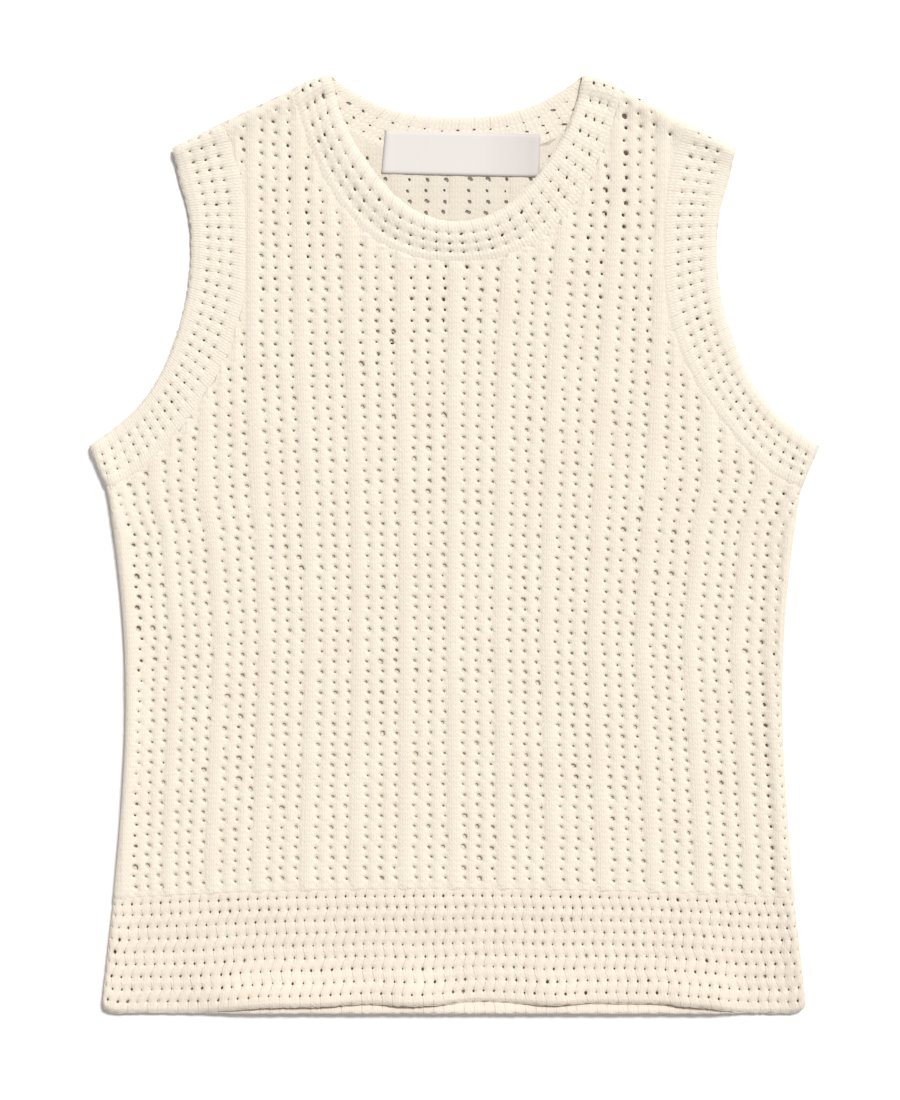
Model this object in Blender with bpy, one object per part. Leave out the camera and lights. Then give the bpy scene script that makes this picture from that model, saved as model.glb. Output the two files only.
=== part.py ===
# Sleeveless sweater vest in open cotton rib mesh, laid flat with its front up.
# Everything below is in millimetres until a mesh is made: x runs across the garment,
# y runs up it from the middle of its length, z rises from the surface it lies on.

import math

import bmesh
import bpy
import numpy as np
from mathutils import Vector
from mathutils.geometry import delaunay_2d_cdt

MM = 0.001

# Driving sizes
LENGTH = 563.7             # neck point to back hem edge
WALL = 2.0                 # thickness of the knit
GAP = 0.3                  # between pieces at a seam and between layers
FOLD_RADIUS = 3.2          # outer radius of the roll where the front turns into the back
SWELL_REACH = 13.0         # how far in from a fold the front is still held up by the roll
NECK_SHIFT = 1.8           # the neck opening lies a little to the wearer's left
NECK_LIFT = 1.5            # the front neckline stands this much clear of the back
NECK_LIFT_REACH = 20.0
SEAM_STATIONS = (30.0, 60.0, 90.0)   # angles round a fold, from its middle plane up

# Outlines, a row for each point: how far below the neck point, how far from the centre line
SIDE_LINE = (
    # down, half
    (223.2, 219.3),
    (231.0, 214.3),
    (247.8, 208.0),
    (272.0, 203.6),
    (303.0, 199.4),
    (345.0, 196.2),
    (390.0, 195.6),
    (440.0, 198.2),
    (494.0, 203.4),
    (530.0, 207.8),
    (556.0, 209.6),
)
ARMHOLE_EDGE = (
    # down, half
    (43.8, 169.2),
    (62.0, 164.0),
    (80.0, 158.8),
    (101.0, 156.5),
    (122.0, 157.4),
    (144.0, 161.8),
    (166.0, 169.4),
    (186.0, 179.6),
    (202.0, 192.0),
    (214.0, 207.0),
    (223.2, 219.3),
)
ARMHOLE_SEAM = (
    # down, half
    (28.8, 139.4),
    (48.0, 131.6),
    (75.0, 126.4),
    (105.0, 125.2),
    (132.0, 126.6),
    (154.0, 131.6),
    (174.0, 139.6),
    (194.0, 151.0),
    (213.0, 165.4),
    (229.0, 179.4),
    (241.0, 193.2),
    (247.8, 208.0),
)
NECK_EDGE = (
    # down, half
    (0.0, 75.6),
    (27.6, 67.8),
    (51.6, 54.3),
    (67.2, 42.0),
    (79.2, 28.4),
    (85.8, 14.6),
    (87.9, 0.0),
)
NECK_SEAM = (
    # down, half
    (9.0, 99.4),
    (28.8, 93.2),
    (49.8, 85.0),
    (67.2, 76.6),
    (84.0, 65.0),
    (99.0, 48.6),
    (108.0, 29.4),
    (111.9, 0.0),
)

# Back neckline, as a flattened ellipse: depth at the centre, power, and the band's width there
BACK_NECK_DEPTH = 25.2
BACK_NECK_POWER = 2.5
BACK_BAND_WIDTH = 24.6
NECK_FOLD_BOW = 1.7        # the neckband's fold bulges this much above a straight line

# Hem: seam to the panels, and the two free edges
HEM_SEAM_DOWN = 488.4
HEM_SEAM_DROP = 5.6        # the seam is this much lower at the sides
FRONT_HEM_RISE = 6.5       # the front hem ends this much above the back one
FRONT_HEM_LEFT = -134.0    # where the front hem meets the back one on each side
FRONT_HEM_RIGHT = 159.0
FRONT_HEM_MEET = 13.0      # and over what length it does so
HEM_WAVE = 0.9             # waves in the front hem
HEM_WAVE_LENGTH = 81.0
HEM_WAVE_PLACE = -26.4
HEM_LIFT = 1.3
HEM_LIFT_REACH = 20.0
HEM_CORNER = (             # the rounded corner of the hem
    # down, half
    (556.0, 209.6),
    (560.4, 207.4),
    (562.9, 203.0),
    (563.7, 195.0),
)

# Ribs of the panels: fourteen groups of three openwork columns with a wide rib between
RIB_GROUPS = 14
GROUP_PITCH = (            # the groups spread and narrow with the garment
    # down, pitch
    (0.0, 31.4),
    (69.0, 31.2),
    (170.0, 30.5),
    (235.0, 29.9),
    (268.0, 28.8),
    (334.0, 28.0),
    (466.0, 29.2),
    (500.0, 29.3),
)
RIB_PROFILE = (
    # place in a group's pitch, height
    (-0.42, 1.0),
    (-0.30, 0.0),
    (-0.15, 0.7),
    (0.00, 0.0),
    (0.15, 0.7),
    (0.30, 0.0),
    (0.42, 1.0),
)
RIB_SPACING = 34.0         # points along a rib
RIB_MARGIN = 3.6           # ribs end this far from a seam
FOLD_MARGIN = 5.4          # and this far from a fold

# Ribs along the bands, a row for each point across: place from the free edge to the seam
NARROW_BAND_PROFILE = (
    # place, height
    (0.00, -0.5),
    (0.06, 0.3),
    (0.16, 0.7),
    (0.31, 0.0),
    (0.42, 0.7),
    (0.54, 0.0),
    (0.64, 0.7),
    (0.75, 0.0),
    (0.85, 0.7),
    (0.94, 1.0),
    (1.00, 0.2),
)
HEM_RIB_COUNT = 9          # openwork rows in the hem band
HEM_FIRST_ROW = 0.095      # the lowest row, as a share of the band's width
HEM_LAST_ROW = 0.95
HEM_RIB_HEIGHT = 0.7
HEM_EDGE_DROP = -0.5

# Label
LABEL_SIZE = (94.0, 25.6)
LABEL_THICKNESS = 1.0
LABEL_CENTRE = (4.6, 47.3)  # from the centre line, and down
LABEL_TURN = -1.3           # degrees

# A panel's edge, anticlockwise: each seam, the fold that follows it, and whether that
# fold is walked upwards
LOOP_ORDER = (
    # seam, fold, reverse
    ("hem", "right_side", True),
    ("right", "right_shoulder", True),
    ("neck", "left_shoulder", False),
    ("left", "left_side", False),
)

# Points along the pieces
BAND_SPACING = 10.0
HEM_SPACING = 12.5
FOLD_SPACING = 15.0
INNER_SPACING = 42.0
STRETCH = 5.0              # panels are triangulated in a plane stretched across the ribs


def world(rows, side=1.0, shift=0.0):
    """Rows of (down, half) as points (x, y) on one side of the centre line."""
    rows = np.array(rows, float)
    return np.column_stack([side * rows[:, 1] + shift, LENGTH / 2 - rows[:, 0]])


def smooth_line(points):
    """A smooth curve through the points, as a dense line with its running length."""
    points = np.asarray(points, float)
    chord = np.concatenate([[0.0], np.cumsum(np.hypot(*np.diff(points, axis=0).T))])
    slope = np.gradient(points, chord, axis=0)
    at = np.linspace(0.0, chord[-1], 900)
    k = np.clip(np.searchsorted(chord, at, side="right") - 1, 0, len(chord) - 2)
    span = (chord[k + 1] - chord[k])[:, None]
    f = (at - chord[k])[:, None] / span
    dense = (
        (2 * f**3 - 3 * f**2 + 1) * points[k]
        + (f**3 - 2 * f**2 + f) * span * slope[k]
        + (3 * f**2 - 2 * f**3) * points[k + 1]
        + (f**3 - f**2) * span * slope[k + 1]
    )
    return with_length(dense)


def with_length(dense):
    """A line's points and the distance along it at each of them."""
    length = np.concatenate([[0.0], np.cumsum(np.hypot(*np.diff(dense, axis=0).T))])
    return dense, length


def at_distance(line, distance):
    """The point at a distance along a line."""
    dense, length = line
    return np.array([np.interp(distance, length, dense[:, 0]), np.interp(distance, length, dense[:, 1])])


def mirrored(rows):
    """Rows from a fold to the centre, repeated in mirror image to the other fold."""
    left = world(rows, -1.0, NECK_SHIFT)
    right = world(rows[-2::-1], 1.0, NECK_SHIFT)
    return np.vstack([left, right])


def distance_to(line, points):
    """Distance of each point to a line."""
    dense = line[0][::6]
    points = np.atleast_2d(points)
    away = points[:, None, :] - dense[None, :, :]
    return np.hypot(away[..., 0], away[..., 1]).min(axis=1)


def hem_seam(x):
    """Height of the seam between the panels and the hem bands."""
    return LENGTH / 2 - HEM_SEAM_DOWN - HEM_SEAM_DROP * (x / 204.0) ** 2


def smooth_step(value):
    """Zero below 0, one above 1, and smooth between."""
    value = np.clip(value, 0.0, 1.0)
    return value * value * (3.0 - 2.0 * value)


def front_hem_share(x):
    """One where the front hem has left the back one, zero where they lie together."""
    left = smooth_step((x - FRONT_HEM_LEFT) / FRONT_HEM_MEET + 0.5)
    right = smooth_step((FRONT_HEM_RIGHT - x) / FRONT_HEM_MEET + 0.5)
    return left * right


def hem_wave(x):
    """Waves along the front hem, from -1 to 1."""
    return np.cos(2 * math.pi * (x - HEM_WAVE_PLACE) / HEM_WAVE_LENGTH)


def hem_edge_line(front):
    """The free edge of a hem band from its left fold to its right fold."""
    left = world(HEM_CORNER, -1.0)
    right = world(HEM_CORNER[::-1], 1.0)
    x = np.linspace(left[-1, 0] + 12.0, right[0, 0] - 12.0, 31)
    y = np.full(len(x), -LENGTH / 2)
    if front:
        y = y + front_hem_share(x) * (FRONT_HEM_RISE - HEM_WAVE * hem_wave(x))
    return smooth_line(np.vstack([left, np.column_stack([x, y]), right]))


def hem_seam_line():
    """The seam above the hem bands from the left fold to the right fold."""
    half = SIDE_LINE[8][1]
    x = np.linspace(-half, half, 60)
    return with_length(np.column_stack([x, hem_seam(x)]))


def back_neck_line(offset):
    """The back neckline, or a line beside it, from the left fold to the right fold."""
    edge_half, edge_down = NECK_EDGE[0][1], NECK_EDGE[0][0]
    seam_half, seam_down = NECK_SEAM[0][1], NECK_SEAM[0][0]
    share = offset / BACK_BAND_WIDTH
    half = edge_half + (seam_half - edge_half) * share
    start = edge_down + (seam_down - edge_down) * share
    depth = BACK_NECK_DEPTH + offset
    across = np.sin(np.linspace(-math.pi / 2, math.pi / 2, 121))
    down = start + (depth - start) * (1.0 - np.abs(across) ** BACK_NECK_POWER)
    return with_length(np.column_stack([half * across + NECK_SHIFT, LENGTH / 2 - down]))


# The lines that every piece is made from
SIDES = {side: smooth_line(world(SIDE_LINE, side)) for side in (-1.0, 1.0)}
FRONT_NECK_EDGE = smooth_line(mirrored(NECK_EDGE))


def shoulder_ends(side):
    """Where a shoulder fold leaves the neckband and where it meets the armband."""
    inner = world(NECK_SEAM[:1], side, NECK_SHIFT)[0]
    outer = world(ARMHOLE_SEAM[:1], side)[0]
    return inner, outer


def shoulder_line(side):
    """The whole shoulder fold, from the neckline to the shoulder tip."""
    inner, outer = shoulder_ends(side)
    neck = world(NECK_EDGE[:1], side, NECK_SHIFT)[0]
    tip = world(ARMHOLE_EDGE[:1], side)[0]
    dense = np.vstack([np.linspace(a, b, 40) for a, b in ((neck, inner), (inner, outer), (outer, tip))])
    return with_length(dense)


SHOULDERS = {side: shoulder_line(side) for side in (-1.0, 1.0)}


def front_top(points):
    """Height of the front's outer face, without its ribs."""
    points = np.atleast_2d(points)
    fold = np.min([distance_to(line, points) for line in (*SIDES.values(), *SHOULDERS.values())], axis=0)
    flat = 2 * WALL + GAP
    swell = (2 * FOLD_RADIUS - flat) * np.exp(-((np.maximum(fold - FOLD_RADIUS, 0.0) / SWELL_REACH) ** 2))
    inside = 1.0 - np.exp(-((fold / 24.0) ** 2))
    neck = distance_to(FRONT_NECK_EDGE, points)
    lift = NECK_LIFT * np.exp(-((neck / NECK_LIFT_REACH) ** 4)) * inside
    x, y = points[:, 0], points[:, 1]
    above_hem = y + LENGTH / 2 - FRONT_HEM_RISE
    hem = HEM_LIFT * (1.0 + 0.6 * hem_wave(x)) * np.exp(-((above_hem / HEM_LIFT_REACH) ** 2))
    return flat + np.maximum(swell, lift) + hem * front_hem_share(x) * inside


# ---------------------------------------------------------------- bands

def plain_across(line, s, from_end):
    """A point of a line near one of its ends, by its distance from that end."""
    length = line[1][-1]
    return at_distance(line, length - s if from_end else s)


def flat_across(line, share):
    """A point of a line between the two rolls, by its share of that length."""
    length = line[1][-1]
    return at_distance(line, FOLD_RADIUS + share * (length - 2 * FOLD_RADIUS))


def across_band(edge, seam, place, bow):
    """Points between the free edge and the seam, with a bow along the band."""
    place = np.asarray(place, float)[:, None]
    points = edge * (1.0 - place) + seam * place
    return points + 4.0 * place * (1.0 - place) * bow


def band_points(band, station, place, rise, depth):
    """Points across a band at one station, `depth` under its outer face.

    A station is ("front", share), ("back", share), ("start", angle) or ("end", angle):
    shares run between the folds, and angles go round a fold from 90 above to -90 below.
    """
    kind, value = station
    place = np.asarray(place, float)
    rise = np.asarray(rise, float)
    if kind == "front":
        edge = flat_across(band["front"][0], value)
        seam = flat_across(band["front"][1], value)
        flat = across_band(edge, seam, place, fold_bow(band, value))
        return np.column_stack([flat, front_top(flat) + rise - depth])
    if kind == "back":
        edge = flat_across(band["back"][0], value)
        seam = flat_across(band["back"][1], value)
        flat = across_band(edge, seam, place, fold_bow(band, value))
        return np.column_stack([flat, np.full(len(flat), float(depth))])
    angle = math.radians(value)
    radius = FOLD_RADIUS - depth + rise * max(math.sin(angle), 0.0)
    reach = FOLD_RADIUS - radius * math.cos(angle)
    share = (1.0 + math.sin(angle)) / 2.0
    rows = []
    for w, s in zip(place, reach):
        ends = []
        for layer in ("front", "back"):
            edge = plain_across(band[layer][0], s, kind == "end")
            seam = plain_across(band[layer][1], s, kind == "end")
            ends.append(across_band(edge, seam, [w], fold_bow(band, float(kind == "end")))[0])
        rows.append(ends[0] * share + ends[1] * (1.0 - share))
    height = FOLD_RADIUS + radius * math.sin(angle)
    if band.get("open"):
        lift = np.maximum(np.abs(height - FOLD_RADIUS), GAP / 2)
        height = FOLD_RADIUS + (lift if band["open"] == "front" else -lift)
    return np.column_stack([np.array(rows), height])


def fold_bow(band, share):
    """How far the middle of a band bulges past a straight line, near its folds."""
    if not band.get("bow"):
        return np.zeros(2)
    near_start = math.exp(-((share / 0.05) ** 2))
    near_end = math.exp(-(((1.0 - share) / 0.05) ** 2))
    return np.array([0.0, band["bow"] * (near_start + near_end)])


def panel_place(band, station):
    """The place just past a band's seam where the panel beside it ends."""
    edge, seam = band_points(band, station, [0.0, 1.0], [0.0, 0.0], 0.0)[:, :2]
    return 1.0 + GAP / float(np.hypot(*(seam - edge)))


def shares(line, spacing):
    """Even shares from 0 to 1 for a line, at about the given spacing."""
    count = max(int(round(line[1][-1] / spacing)), 2)
    return np.linspace(0.0, 1.0, count + 1)


def loop_stations(band):
    """Stations all round a band: front, far fold, back, near fold."""
    front = [("front", s) for s in shares(band["front"][1], band["spacing"])]
    back = [("back", s) for s in shares(band["back"][1], band["spacing"])[::-1]]
    turn = [60.0, 30.0, 0.0, -30.0, -60.0]
    return front + [("end", a) for a in turn] + back + [("start", a) for a in turn[::-1]]


def half_stations(band, layer):
    """Stations along one layer from fold to fold, with the layer's half of each roll."""
    sign = 1.0 if layer == "front" else -1.0
    flat = [(layer, s) for s in shares(band[layer][1], band["spacing"])]
    turn = [sign * a for a in (0.0, 30.0, 60.0)]
    return [("start", a) for a in turn] + flat + [("end", a) for a in turn[::-1]]


def arm_band(side):
    """The lines of an armband, from the shoulder fold to the underarm fold."""
    edge = smooth_line(world(ARMHOLE_EDGE, side))
    seam = smooth_line(world(ARMHOLE_SEAM, side))
    return {"front": (edge, seam), "back": (edge, seam), "spacing": BAND_SPACING}


def neck_band():
    """The lines of the neckband, from the left shoulder fold to the right one."""
    return {
        "front": (FRONT_NECK_EDGE, smooth_line(mirrored(NECK_SEAM))),
        "back": (back_neck_line(0.0), back_neck_line(BACK_BAND_WIDTH)),
        "bow": NECK_FOLD_BOW,
        "spacing": BAND_SPACING,
    }


def hem_band(layer):
    """The lines of a hem band, from the left side fold to the right one."""
    lines = (hem_edge_line(layer == "front"), hem_seam_line())
    return {"front": lines, "back": lines, "open": layer, "spacing": HEM_SPACING}


def hem_profile():
    """Points across a hem band: a rib between each two openwork rows."""
    rows = np.linspace(HEM_FIRST_ROW, HEM_LAST_ROW, HEM_RIB_COUNT)
    crests = (rows[1:] + rows[:-1]) / 2
    profile = [(0.0, HEM_EDGE_DROP), (HEM_FIRST_ROW * 0.5, HEM_RIB_HEIGHT), (1.0, 0.3)]
    profile += [(w, 0.0) for w in rows]
    profile += [(w, HEM_RIB_HEIGHT) for w in crests]
    return sorted(profile)


def strip_solid(name, band, stations, profile, closed):
    """A band as one closed solid: a ribbed outer face, a plain inner face, two edges."""
    outer = np.array(profile, float)
    inner = np.array([0.0, 0.5, 1.0])
    rings = []
    for station in stations:
        rise = outer[:, 1]
        top = band_points(band, station, outer[:, 0], rise, 0.0)
        if station[0] == "back":
            top[:, 2] = np.maximum(0.0, -np.minimum(rise, 0.0))
        under = band_points(band, station, inner[::-1], np.zeros(3), WALL)
        rings.append(np.vstack([top, under]))
    count, around = len(rings), len(rings[0])
    vertices = np.vstack(rings)
    faces = []
    for i in range(count if closed else count - 1):
        here, there = i * around, ((i + 1) % count) * around
        faces += [
            (here + j, here + (j + 1) % around, there + (j + 1) % around, there + j)
            for j in range(around)
        ]
    if not closed:
        faces.append(tuple(range(around)))
        faces.append(tuple(range((count - 1) * around, count * around)))
    return make_solid(name, vertices, faces)


# ---------------------------------------------------------------- panels

def seam_rows(band, layer, depth, reverse=False):
    """A panel's edge beside a band, from fold to fold."""
    band = dict(band, open=layer)
    stations = half_stations(band, layer)
    rows = [band_points(band, st, [panel_place(band, st)], [0.0], depth)[0] for st in stations]
    return rows[::-1] if reverse else rows


def fold_rows(start, end, curve, layer, depth, angle):
    """Points along a panel's fold between two corners, at one angle round the roll."""
    count = max(int(round(np.hypot(*(end - start)) / FOLD_SPACING)), 2)
    rows = []
    for f in np.linspace(0.0, 1.0, count + 1)[1:-1]:
        point, inward = curve(f)
        reach = FOLD_RADIUS - (FOLD_RADIUS - depth) * math.cos(angle)
        rise = max((FOLD_RADIUS - depth) * math.sin(angle), GAP / 2)
        height = FOLD_RADIUS + (rise if layer == "front" else -rise)
        rows.append(np.array([*(point + inward * reach), height]))
    return rows


def side_curve(side, top, bottom):
    """A side fold as a function of its share from the armband down to the hem band."""
    line = SIDES[side]

    def curve(f):
        y = top[1] + (bottom[1] - top[1]) * f
        x = np.interp(-y, -line[0][:, 1], line[0][:, 0])
        return np.array([x, y]), np.array([-side, 0.0])

    return curve


def shoulder_curve(start, end):
    """A shoulder fold as a function of its share from start to end."""
    along = (end - start) / np.hypot(*(end - start))
    inward = np.array([along[1], -along[0]])
    inward = inward if inward[1] < 0 else -inward

    def curve(f):
        return start + (end - start) * f, inward

    return curve


def panel_edges(layer, bands):
    """The four folds of a panel, each with its two corners and its curve."""
    def corner(band, kind):
        rows = seam_rows(band, layer, 0.0)
        return rows[0][:2] if kind == "start" else rows[-1][:2]

    folds = {}
    for side, name in ((-1.0, "left"), (1.0, "right")):
        arm_top, arm_bottom = corner(bands[name], "start"), corner(bands[name], "end")
        hem = corner(bands["hem"], "start" if side < 0 else "end")
        neck = corner(bands["neck"], "start" if side < 0 else "end")
        folds[name + "_side"] = (arm_bottom, hem, side_curve(side, arm_bottom, hem))
        folds[name + "_shoulder"] = (neck, arm_top, shoulder_curve(neck, arm_top))
    return folds


def panel_face(layer, bands, folds, depth):
    """One face of a panel without its ribs: its edge, its rolls, and the lines along them.

    The edge runs anticlockwise from the left end of the hem seam: a seam, a fold, a seam
    and so on. Each roll line joins the same angle on the seams at both its ends.
    """
    loop, ends = [], []
    for seam, fold, reverse in LOOP_ORDER:
        rows = seam_rows(bands[seam], layer, depth, reverse=seam in ("right", "neck"))
        ends.append((len(loop), len(loop) + len(rows) - 1))
        loop += rows
        rows = fold_rows(*folds[fold], layer, depth, 0.0)
        loop += rows[::-1] if reverse else rows
    rolls, lines = [], []
    for i, (_, fold, reverse) in enumerate(LOOP_ORDER):
        last, first = ends[i][1], ends[(i + 1) % len(ends)][0]
        for step, angle in enumerate(SEAM_STATIONS, start=1):
            rows = fold_rows(*folds[fold], layer, depth, math.radians(angle))
            used = len(loop) + len(rolls)
            chain = [last - step, *range(used, used + len(rows)), first + step]
            lines += list(zip(chain, chain[1:]))
            rolls += rows[::-1] if reverse else rows
    return np.array(loop), np.array(rolls), lines


def inside(polygon, points):
    """Which points lie inside a polygon, by counting its crossings."""
    points = np.atleast_2d(points)
    x, y = points[:, 0][:, None], points[:, 1][:, None]
    a, b = polygon, np.roll(polygon, -1, axis=0)
    crosses = (a[:, 1] > y) != (b[:, 1] > y)
    rise = np.where(b[:, 1] == a[:, 1], 1.0, b[:, 1] - a[:, 1])
    at = a[:, 0] + (y - a[:, 1]) * (b[:, 0] - a[:, 0]) / rise
    return (crosses & (x < at)).sum(axis=1) % 2 == 1


def edge_distance(polygon, points):
    """Distance of each point to a polygon's sides."""
    points = np.atleast_2d(points)
    a, b = polygon, np.roll(polygon, -1, axis=0)
    along = b - a
    length = np.maximum((along**2).sum(axis=1), 1e-9)
    away = points[:, None, :] - a[None]
    f = np.clip((away * along).sum(axis=2) / length, 0.0, 1.0)
    rest = away - f[..., None] * along
    return np.hypot(rest[..., 0], rest[..., 1]).min(axis=1)


def fold_distance(points):
    """Distance of each point to the nearest fold."""
    return np.min([distance_to(line, points) for line in (*SIDES.values(), *SHOULDERS.values())], axis=0)


def group_pitch(y):
    """Distance between rib groups at a height on the garment."""
    down, pitch = np.array(GROUP_PITCH).T
    return np.interp(LENGTH / 2 - y, down, pitch)


def rib_lines(polygon):
    """Rows of points along each rib, with the rib's height there."""
    y = np.arange(-LENGTH / 2, LENGTH / 2, 1.5)
    lines = []
    for group in range(RIB_GROUPS):
        for place, height in RIB_PROFILE:
            x = (group - (RIB_GROUPS - 1) / 2 + place) * group_pitch(y)
            points = np.column_stack([x, y])
            free = inside(polygon, points) & (edge_distance(polygon, points) > RIB_MARGIN)
            free &= fold_distance(points) > FOLD_MARGIN
            starts = np.flatnonzero(np.diff(np.concatenate([[False], free]).astype(int)) == 1)
            ends = np.flatnonzero(np.diff(np.concatenate([free, [False]]).astype(int)) == -1)
            for a, b in zip(starts, ends):
                if y[b] - y[a] < 6.0:
                    continue
                count = max(int(round((y[b] - y[a]) / RIB_SPACING)), 1)
                rows = np.unique(np.round(np.linspace(a, b, count + 1)).astype(int))
                lines.append((points[rows], height))
    return lines


def triangulate(flat, loop_count, lines):
    """Triangles of a face whose first points are its edge, kept along the given lines."""
    stretched = [Vector((x * STRETCH, y)) for x, y in flat]
    loop = [(i, (i + 1) % loop_count) for i in range(loop_count)]
    _, _, faces, origin, _, _ = delaunay_2d_cdt(stretched, loop + lines, [], 1, 1e-6)
    return [tuple(origin[v][0] for v in face) for face in faces]


def plain_points(polygon, spacing):
    """An even grid of points over a panel, clear of its edges and rolls."""
    x = np.arange(-5, 6) * spacing
    y = np.arange(-7, 8) * spacing
    points = np.array([(a, b) for a in x for b in y])
    clear = inside(polygon, points) & (edge_distance(polygon, points) > 0.3 * spacing)
    return points[clear & (fold_distance(points) > FOLD_MARGIN + 6.0)]


def near_fold_points(polygon, folds):
    """Points a little in from each fold, where the front comes down to lie on the back."""
    rows = []
    for start, end, curve in folds.values():
        count = max(int(round(np.hypot(*(end - start)) / FOLD_SPACING)), 2)
        for f in np.linspace(0.0, 1.0, count + 1)[1:-1]:
            point, inward = curve(f)
            rows.append(point + inward * (FOLD_RADIUS + SWELL_REACH))
    rows = np.array(rows)
    return rows[inside(polygon, rows) & (edge_distance(polygon, rows) > RIB_MARGIN)]


def panel_solid(name, layer, bands):
    """A body panel as one closed solid, ribbed outside on the front, plain inside."""
    folds = panel_edges(layer, bands)
    front = layer == "front"
    depths = (0.0, WALL)
    vertices, faces, loops = [], [], []
    for depth in depths:
        loop, rolls, lines = panel_face(layer, bands, folds, depth)
        count = len(loop)
        polygon = loop[:, :2]
        if front and depth == 0.0:
            body, used = [], count + len(rolls)
            for points, height in rib_lines(polygon):
                body.append(np.column_stack([points, front_top(points) + height]))
                lines += [(used + i, used + i + 1) for i in range(len(points) - 1)]
                used += len(points)
            body = np.vstack(body)
        else:
            points = np.vstack([plain_points(polygon, INNER_SPACING), near_fold_points(polygon, folds)])
            height = front_top(points) - depth if front else np.full(len(points), depth)
            body = np.column_stack([points, height])
        sheet = np.vstack([loop, rolls, body])
        base = sum(len(v) for v in vertices)
        faces += [tuple(base + i for i in f) for f in triangulate(sheet[:, :2], count, lines)]
        loops.append((base, count))
        vertices.append(sheet)
    (outer, count), (inner, _) = loops
    for i in range(count):
        j = (i + 1) % count
        faces.append((outer + i, outer + j, inner + j, inner + i))
    return make_solid(name, np.vstack(vertices), faces)


# ---------------------------------------------------------------- label and objects

def label_solid():
    """The neck label: a thin woven rectangle that lies on the inside of the back."""
    width, height = LABEL_SIZE
    turn = math.radians(LABEL_TURN)
    base = WALL + GAP
    columns = np.linspace(-0.5, 0.5, 7) * width
    rows = np.linspace(-0.5, 0.5, 3) * height
    flat = np.array([(x, y) for y in rows for x in columns])
    spin = np.array([[math.cos(turn), math.sin(turn)], [-math.sin(turn), math.cos(turn)]])
    centre = np.array([LABEL_CENTRE[0], LENGTH / 2 - LABEL_CENTRE[1]])
    flat = flat @ spin + centre
    sheets = [np.column_stack([flat, np.full(len(flat), z)]) for z in (base + LABEL_THICKNESS, base)]
    faces = []
    wide, tall, step = len(columns), len(rows), len(flat)
    for j in range(tall - 1):
        for i in range(wide - 1):
            a = j * wide + i
            faces.append((a, a + 1, a + wide + 1, a + wide))
            faces.append((step + a, step + a + wide, step + a + wide + 1, step + a + 1))
    rim = [i for i in range(wide)] + [j * wide + wide - 1 for j in range(1, tall)]
    rim += [(tall - 1) * wide + i for i in range(wide - 2, -1, -1)]
    rim += [j * wide for j in range(tall - 2, 0, -1)]
    for a, b in zip(rim, rim[1:] + rim[:1]):
        faces.append((a, step + a, step + b, b))
    return make_solid("neck_label", np.vstack(sheets), faces)


def linear(hex_colour):
    """An sRGB hex colour as linear red, green, blue and alpha."""
    parts = [int(hex_colour[i:i + 2], 16) / 255 for i in (1, 3, 5)]
    parts = [p / 12.92 if p <= 0.04045 else ((p + 0.055) / 1.055) ** 2.4 for p in parts]
    return (*parts, 1.0)


COLOURS = {
    "front_body": "#f5ebd9",
    "back_body": "#ebe1d2",
    "front_hem_band": "#f3e7d6",
    "back_hem_band": "#e9dcc8",
    "neck_band": "#f6ecdb",
    "left_armband": "#f3ead9",
    "right_armband": "#f3ead9",
    "neck_label": "#ebe7e2",
}


def make_solid(name, vertices, faces):
    """A named object with its own matt cloth material, its faces pointing out."""
    mesh = bpy.data.meshes.new(name)
    mesh.from_pydata((np.asarray(vertices) * MM).tolist(), [], faces)
    shape = bmesh.new()
    shape.from_mesh(mesh)
    bmesh.ops.recalc_face_normals(shape, faces=shape.faces)
    shape.to_mesh(mesh)
    shape.free()
    mesh.shade_smooth()
    mesh.set_sharp_from_angle(angle=math.radians(50.0))
    material = bpy.data.materials.new(name + "_cloth")
    material.use_nodes = True
    shader = material.node_tree.nodes["Principled BSDF"]
    shader.inputs["Base Color"].default_value = linear(COLOURS[name])
    shader.inputs["Roughness"].default_value = 0.9
    shader.inputs["Metallic"].default_value = 0.0
    mesh.materials.append(material)
    thing = bpy.data.objects.new(name, mesh)
    bpy.context.scene.collection.objects.link(thing)
    return thing


def main():
    for thing in list(bpy.data.objects):
        bpy.data.objects.remove(thing, do_unlink=True)
    bands = {"left": arm_band(-1.0), "right": arm_band(1.0), "neck": neck_band()}
    for layer in ("front", "back"):
        hem = hem_band(layer)
        panel_solid(layer + "_body", layer, dict(bands, hem=hem))
        strip_solid(layer + "_hem_band", hem, half_stations(hem, layer), hem_profile(), False)
    strip_solid("neck_band", bands["neck"], loop_stations(bands["neck"]), NARROW_BAND_PROFILE, True)
    for name in ("left", "right"):
        band = bands[name]
        strip_solid(name + "_armband", band, loop_stations(band), NARROW_BAND_PROFILE, True)
    label_solid()


main()
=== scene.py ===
# Sleeveless sweater vest in open cotton rib knit, laid flat and seen from straight above.
# Shapes are worked out in millimetres: x runs across the garment, y up it from the middle
# of its length, z up from the floor. A mesh gets them in metres.

import math

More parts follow.
